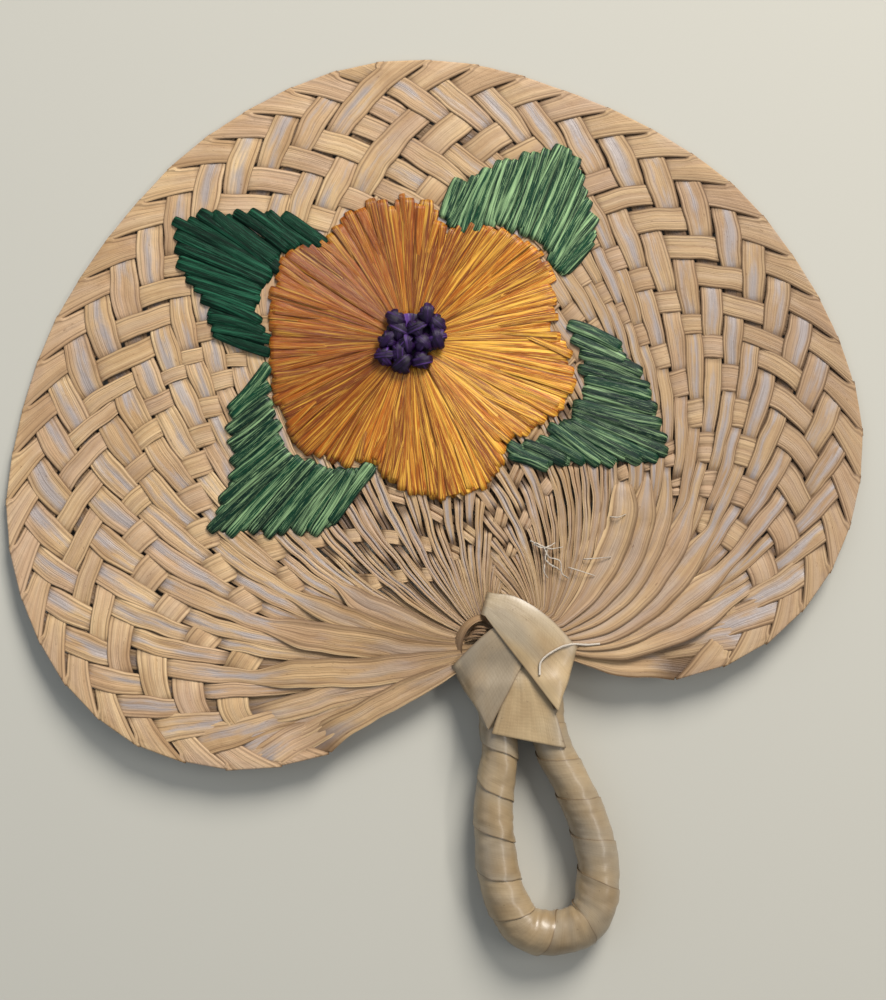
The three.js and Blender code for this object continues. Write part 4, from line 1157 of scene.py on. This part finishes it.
# The stalks inside the knot, close together, their cut ends showing beside the bands.
def makeStalks():
    s = stalks
    rng = np.random.default_rng(12)
    parts = []
    for n in range(s["count"]):
        angle = rng.uniform(math.radians(s["firstTurn"]), math.radians(s["lastTurn"]))
        root = np.array([math.cos(angle) * s["wide"] * rng.uniform(0.5, 1.0),
                         math.sin(angle) * s["long"] * rng.uniform(0.4, 1.0)])
        inner = root * 0.2 + np.array([rng.normal(0, 3), rng.uniform(-14, -8)])
        high = s["high"] - s["fall"] * (root[0] / knot["wide"]) ** 2 + rng.uniform(-3.8, 0.3)
        path = archOf(np.array([*root, high]), np.array([*(root * 0.6), high + 0.8]),
                      np.array([*inner, min(high, 9.5)]), 9)
        parts.append(tubeOf(path, rng.uniform(0.7, 1.3), 6, n, 0.6))
    sides = s["bedSides"]
    angle = np.linspace(0, 2 * math.pi, sides + 1)[:-1]
    ring = np.stack([s["bedWide"] * np.cos(angle), s["bedLong"] * np.sin(angle)], -1)
    rows = np.array([raised(ring * size, np.full(sides, z)) for size, z in bedLevels])
    index, _, faces = ringsOf(len(bedLevels), sides)
    faces += [index[0][::-1].tolist(), index[-1].tolist()]
    coords = lanesOf(rows[..., 2] * 6, np.cos(angle * 12)[None] * 0.6, 200.0)
    parts.append((rows.reshape(-1, 3), faces, coords.reshape(-1, 3)))
    # A strip end curls round the left ribbon, with frayed ends inside it.
    curl = pathThrough(curlRoute, 8)
    share = np.linspace(0, 1, len(curl))
    width = leftOf(unit(np.gradient(curl, axis=0))) * (s["curlWide"] * (1 - 0.4 * share))[:, None]
    v = np.linspace(-1, 1, 7)
    plan = curl[:, None] + width[:, None] * v[None, :, None]
    z = (8.6 + 5.0 * np.sin(np.pi * (0.12 + 0.74 * share)))[:, None] - 0.9 * v[None] - 0.3 * v[None] ** 2
    coords = lanesOf(lengthsAlong(curl)[:, None], v[None], 411.0)
    parts.append(slabOf(raised(plan, z), s["curlThick"], coords))
    for n in range(s["frayed"]):
        far = n / (s["frayed"] - 1)
        start = np.array([-18.2 + 4.0 * far, 0.6 + 4.6 * far, 10.4]) + rng.normal(0, 0.3, 3)
        stop = np.array([-12.4 + 3.2 * far, 1.8 + 4.2 * far, 13.0]) + rng.normal(0, 0.35, 3)
        top = (start + stop) / 2 + np.array([-0.8, 1.6, 2.0 + rng.uniform(-0.8, 0.6)])
        parts.append(tubeOf(archOf(start, top, stop, 13), rng.uniform(0.25, 0.5), 6, n + 400, 0.6))
    makePiece("gathered_ends", parts, stalkFinish, "gathered_stalks", 60)


thread = {"thick": 0.42, "onKnot": 0.75, "onBlade": 3.2, "endThick": 0.24, "endHigh": 3.0, "doubleEnds": 4}
threadRoute = [(7, -11.5), (8, -7), (14.5, -3), (19, -2.2), (24.5, -3), (29, -3)]
# Short ends of sewing thread that stand out of the blade beside the knot.
looseEnds = [
    [(8, 34.5), (11, 33), (14.5, 31.2), (19, 31.5)],
    [(12.5, 31.8), (14, 28.4), (17.5, 26.8), (18, 22.5), (19.8, 20.4)],
    [(13.6, 31), (12.6, 27.6), (15.2, 25.2), (17.4, 23.6)], [(9, 33.2), (12.5, 31.8), (16.4, 33)],
    [(26, 26.6), (30.6, 26.6), (35.6, 26.6)], [(20.5, 24.2), (25, 22.4), (29.4, 20.6)],
    [(36.6, 40.6), (39, 40.2), (42, 41)], [(12.2, 26), (11.8, 23.2), (13, 21.2)],
]


def makeThread():
    plan = pathThrough(threadRoute, 12)
    x, y = plan.T
    onKnot = knotFront(x, y, knot["first"] + 2 * knot["pitch"]) + thread["onKnot"]
    onBlade = lift(x, y) + thread["onBlade"]
    z = onKnot + (onBlade - onKnot) * smooth(x, 17, 23)
    parts = [tubeOf(raised(plan, z), thread["thick"] * (1 + 0.12 * wander(5, x, 1.5)), 8, 1.0)]
    for number, route in enumerate(looseEnds):
        plan = pathThrough(route, 8)
        share = np.linspace(0, 1, len(plan))
        z = lift(*plan.T) + thread["endHigh"] + 0.9 * np.sin(share * math.pi) - 0.8 * (share < 0.05)
        thick = thread["endThick"] * (1 + 0.3 * wander(number, share, 0.2)) * (1 - 0.4 * share)
        for strand in range(2 if number < thread["doubleEnds"] else 1):
            off = 0.35 * strand * np.stack([wander(number + seed, share, 0.3) for seed in (9, 19, 29)], -1)
            parts.append(tubeOf(raised(plan, z) + off, thick, 6, number + 2.0))
    makePiece("loose_thread", parts, threadFinish, "stitch_thread", 60)


makeBands()
makeStalks()
makeThread()
print("knot tied")

# The rod inside the handle and the band at the back keep their solids.
for name, finish in (("handle_core", stalkFinish), ("knot_band_back", bandFinish)):
    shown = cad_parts[name]
    shown.data.materials.clear()
    shown.data.materials.append(finish)
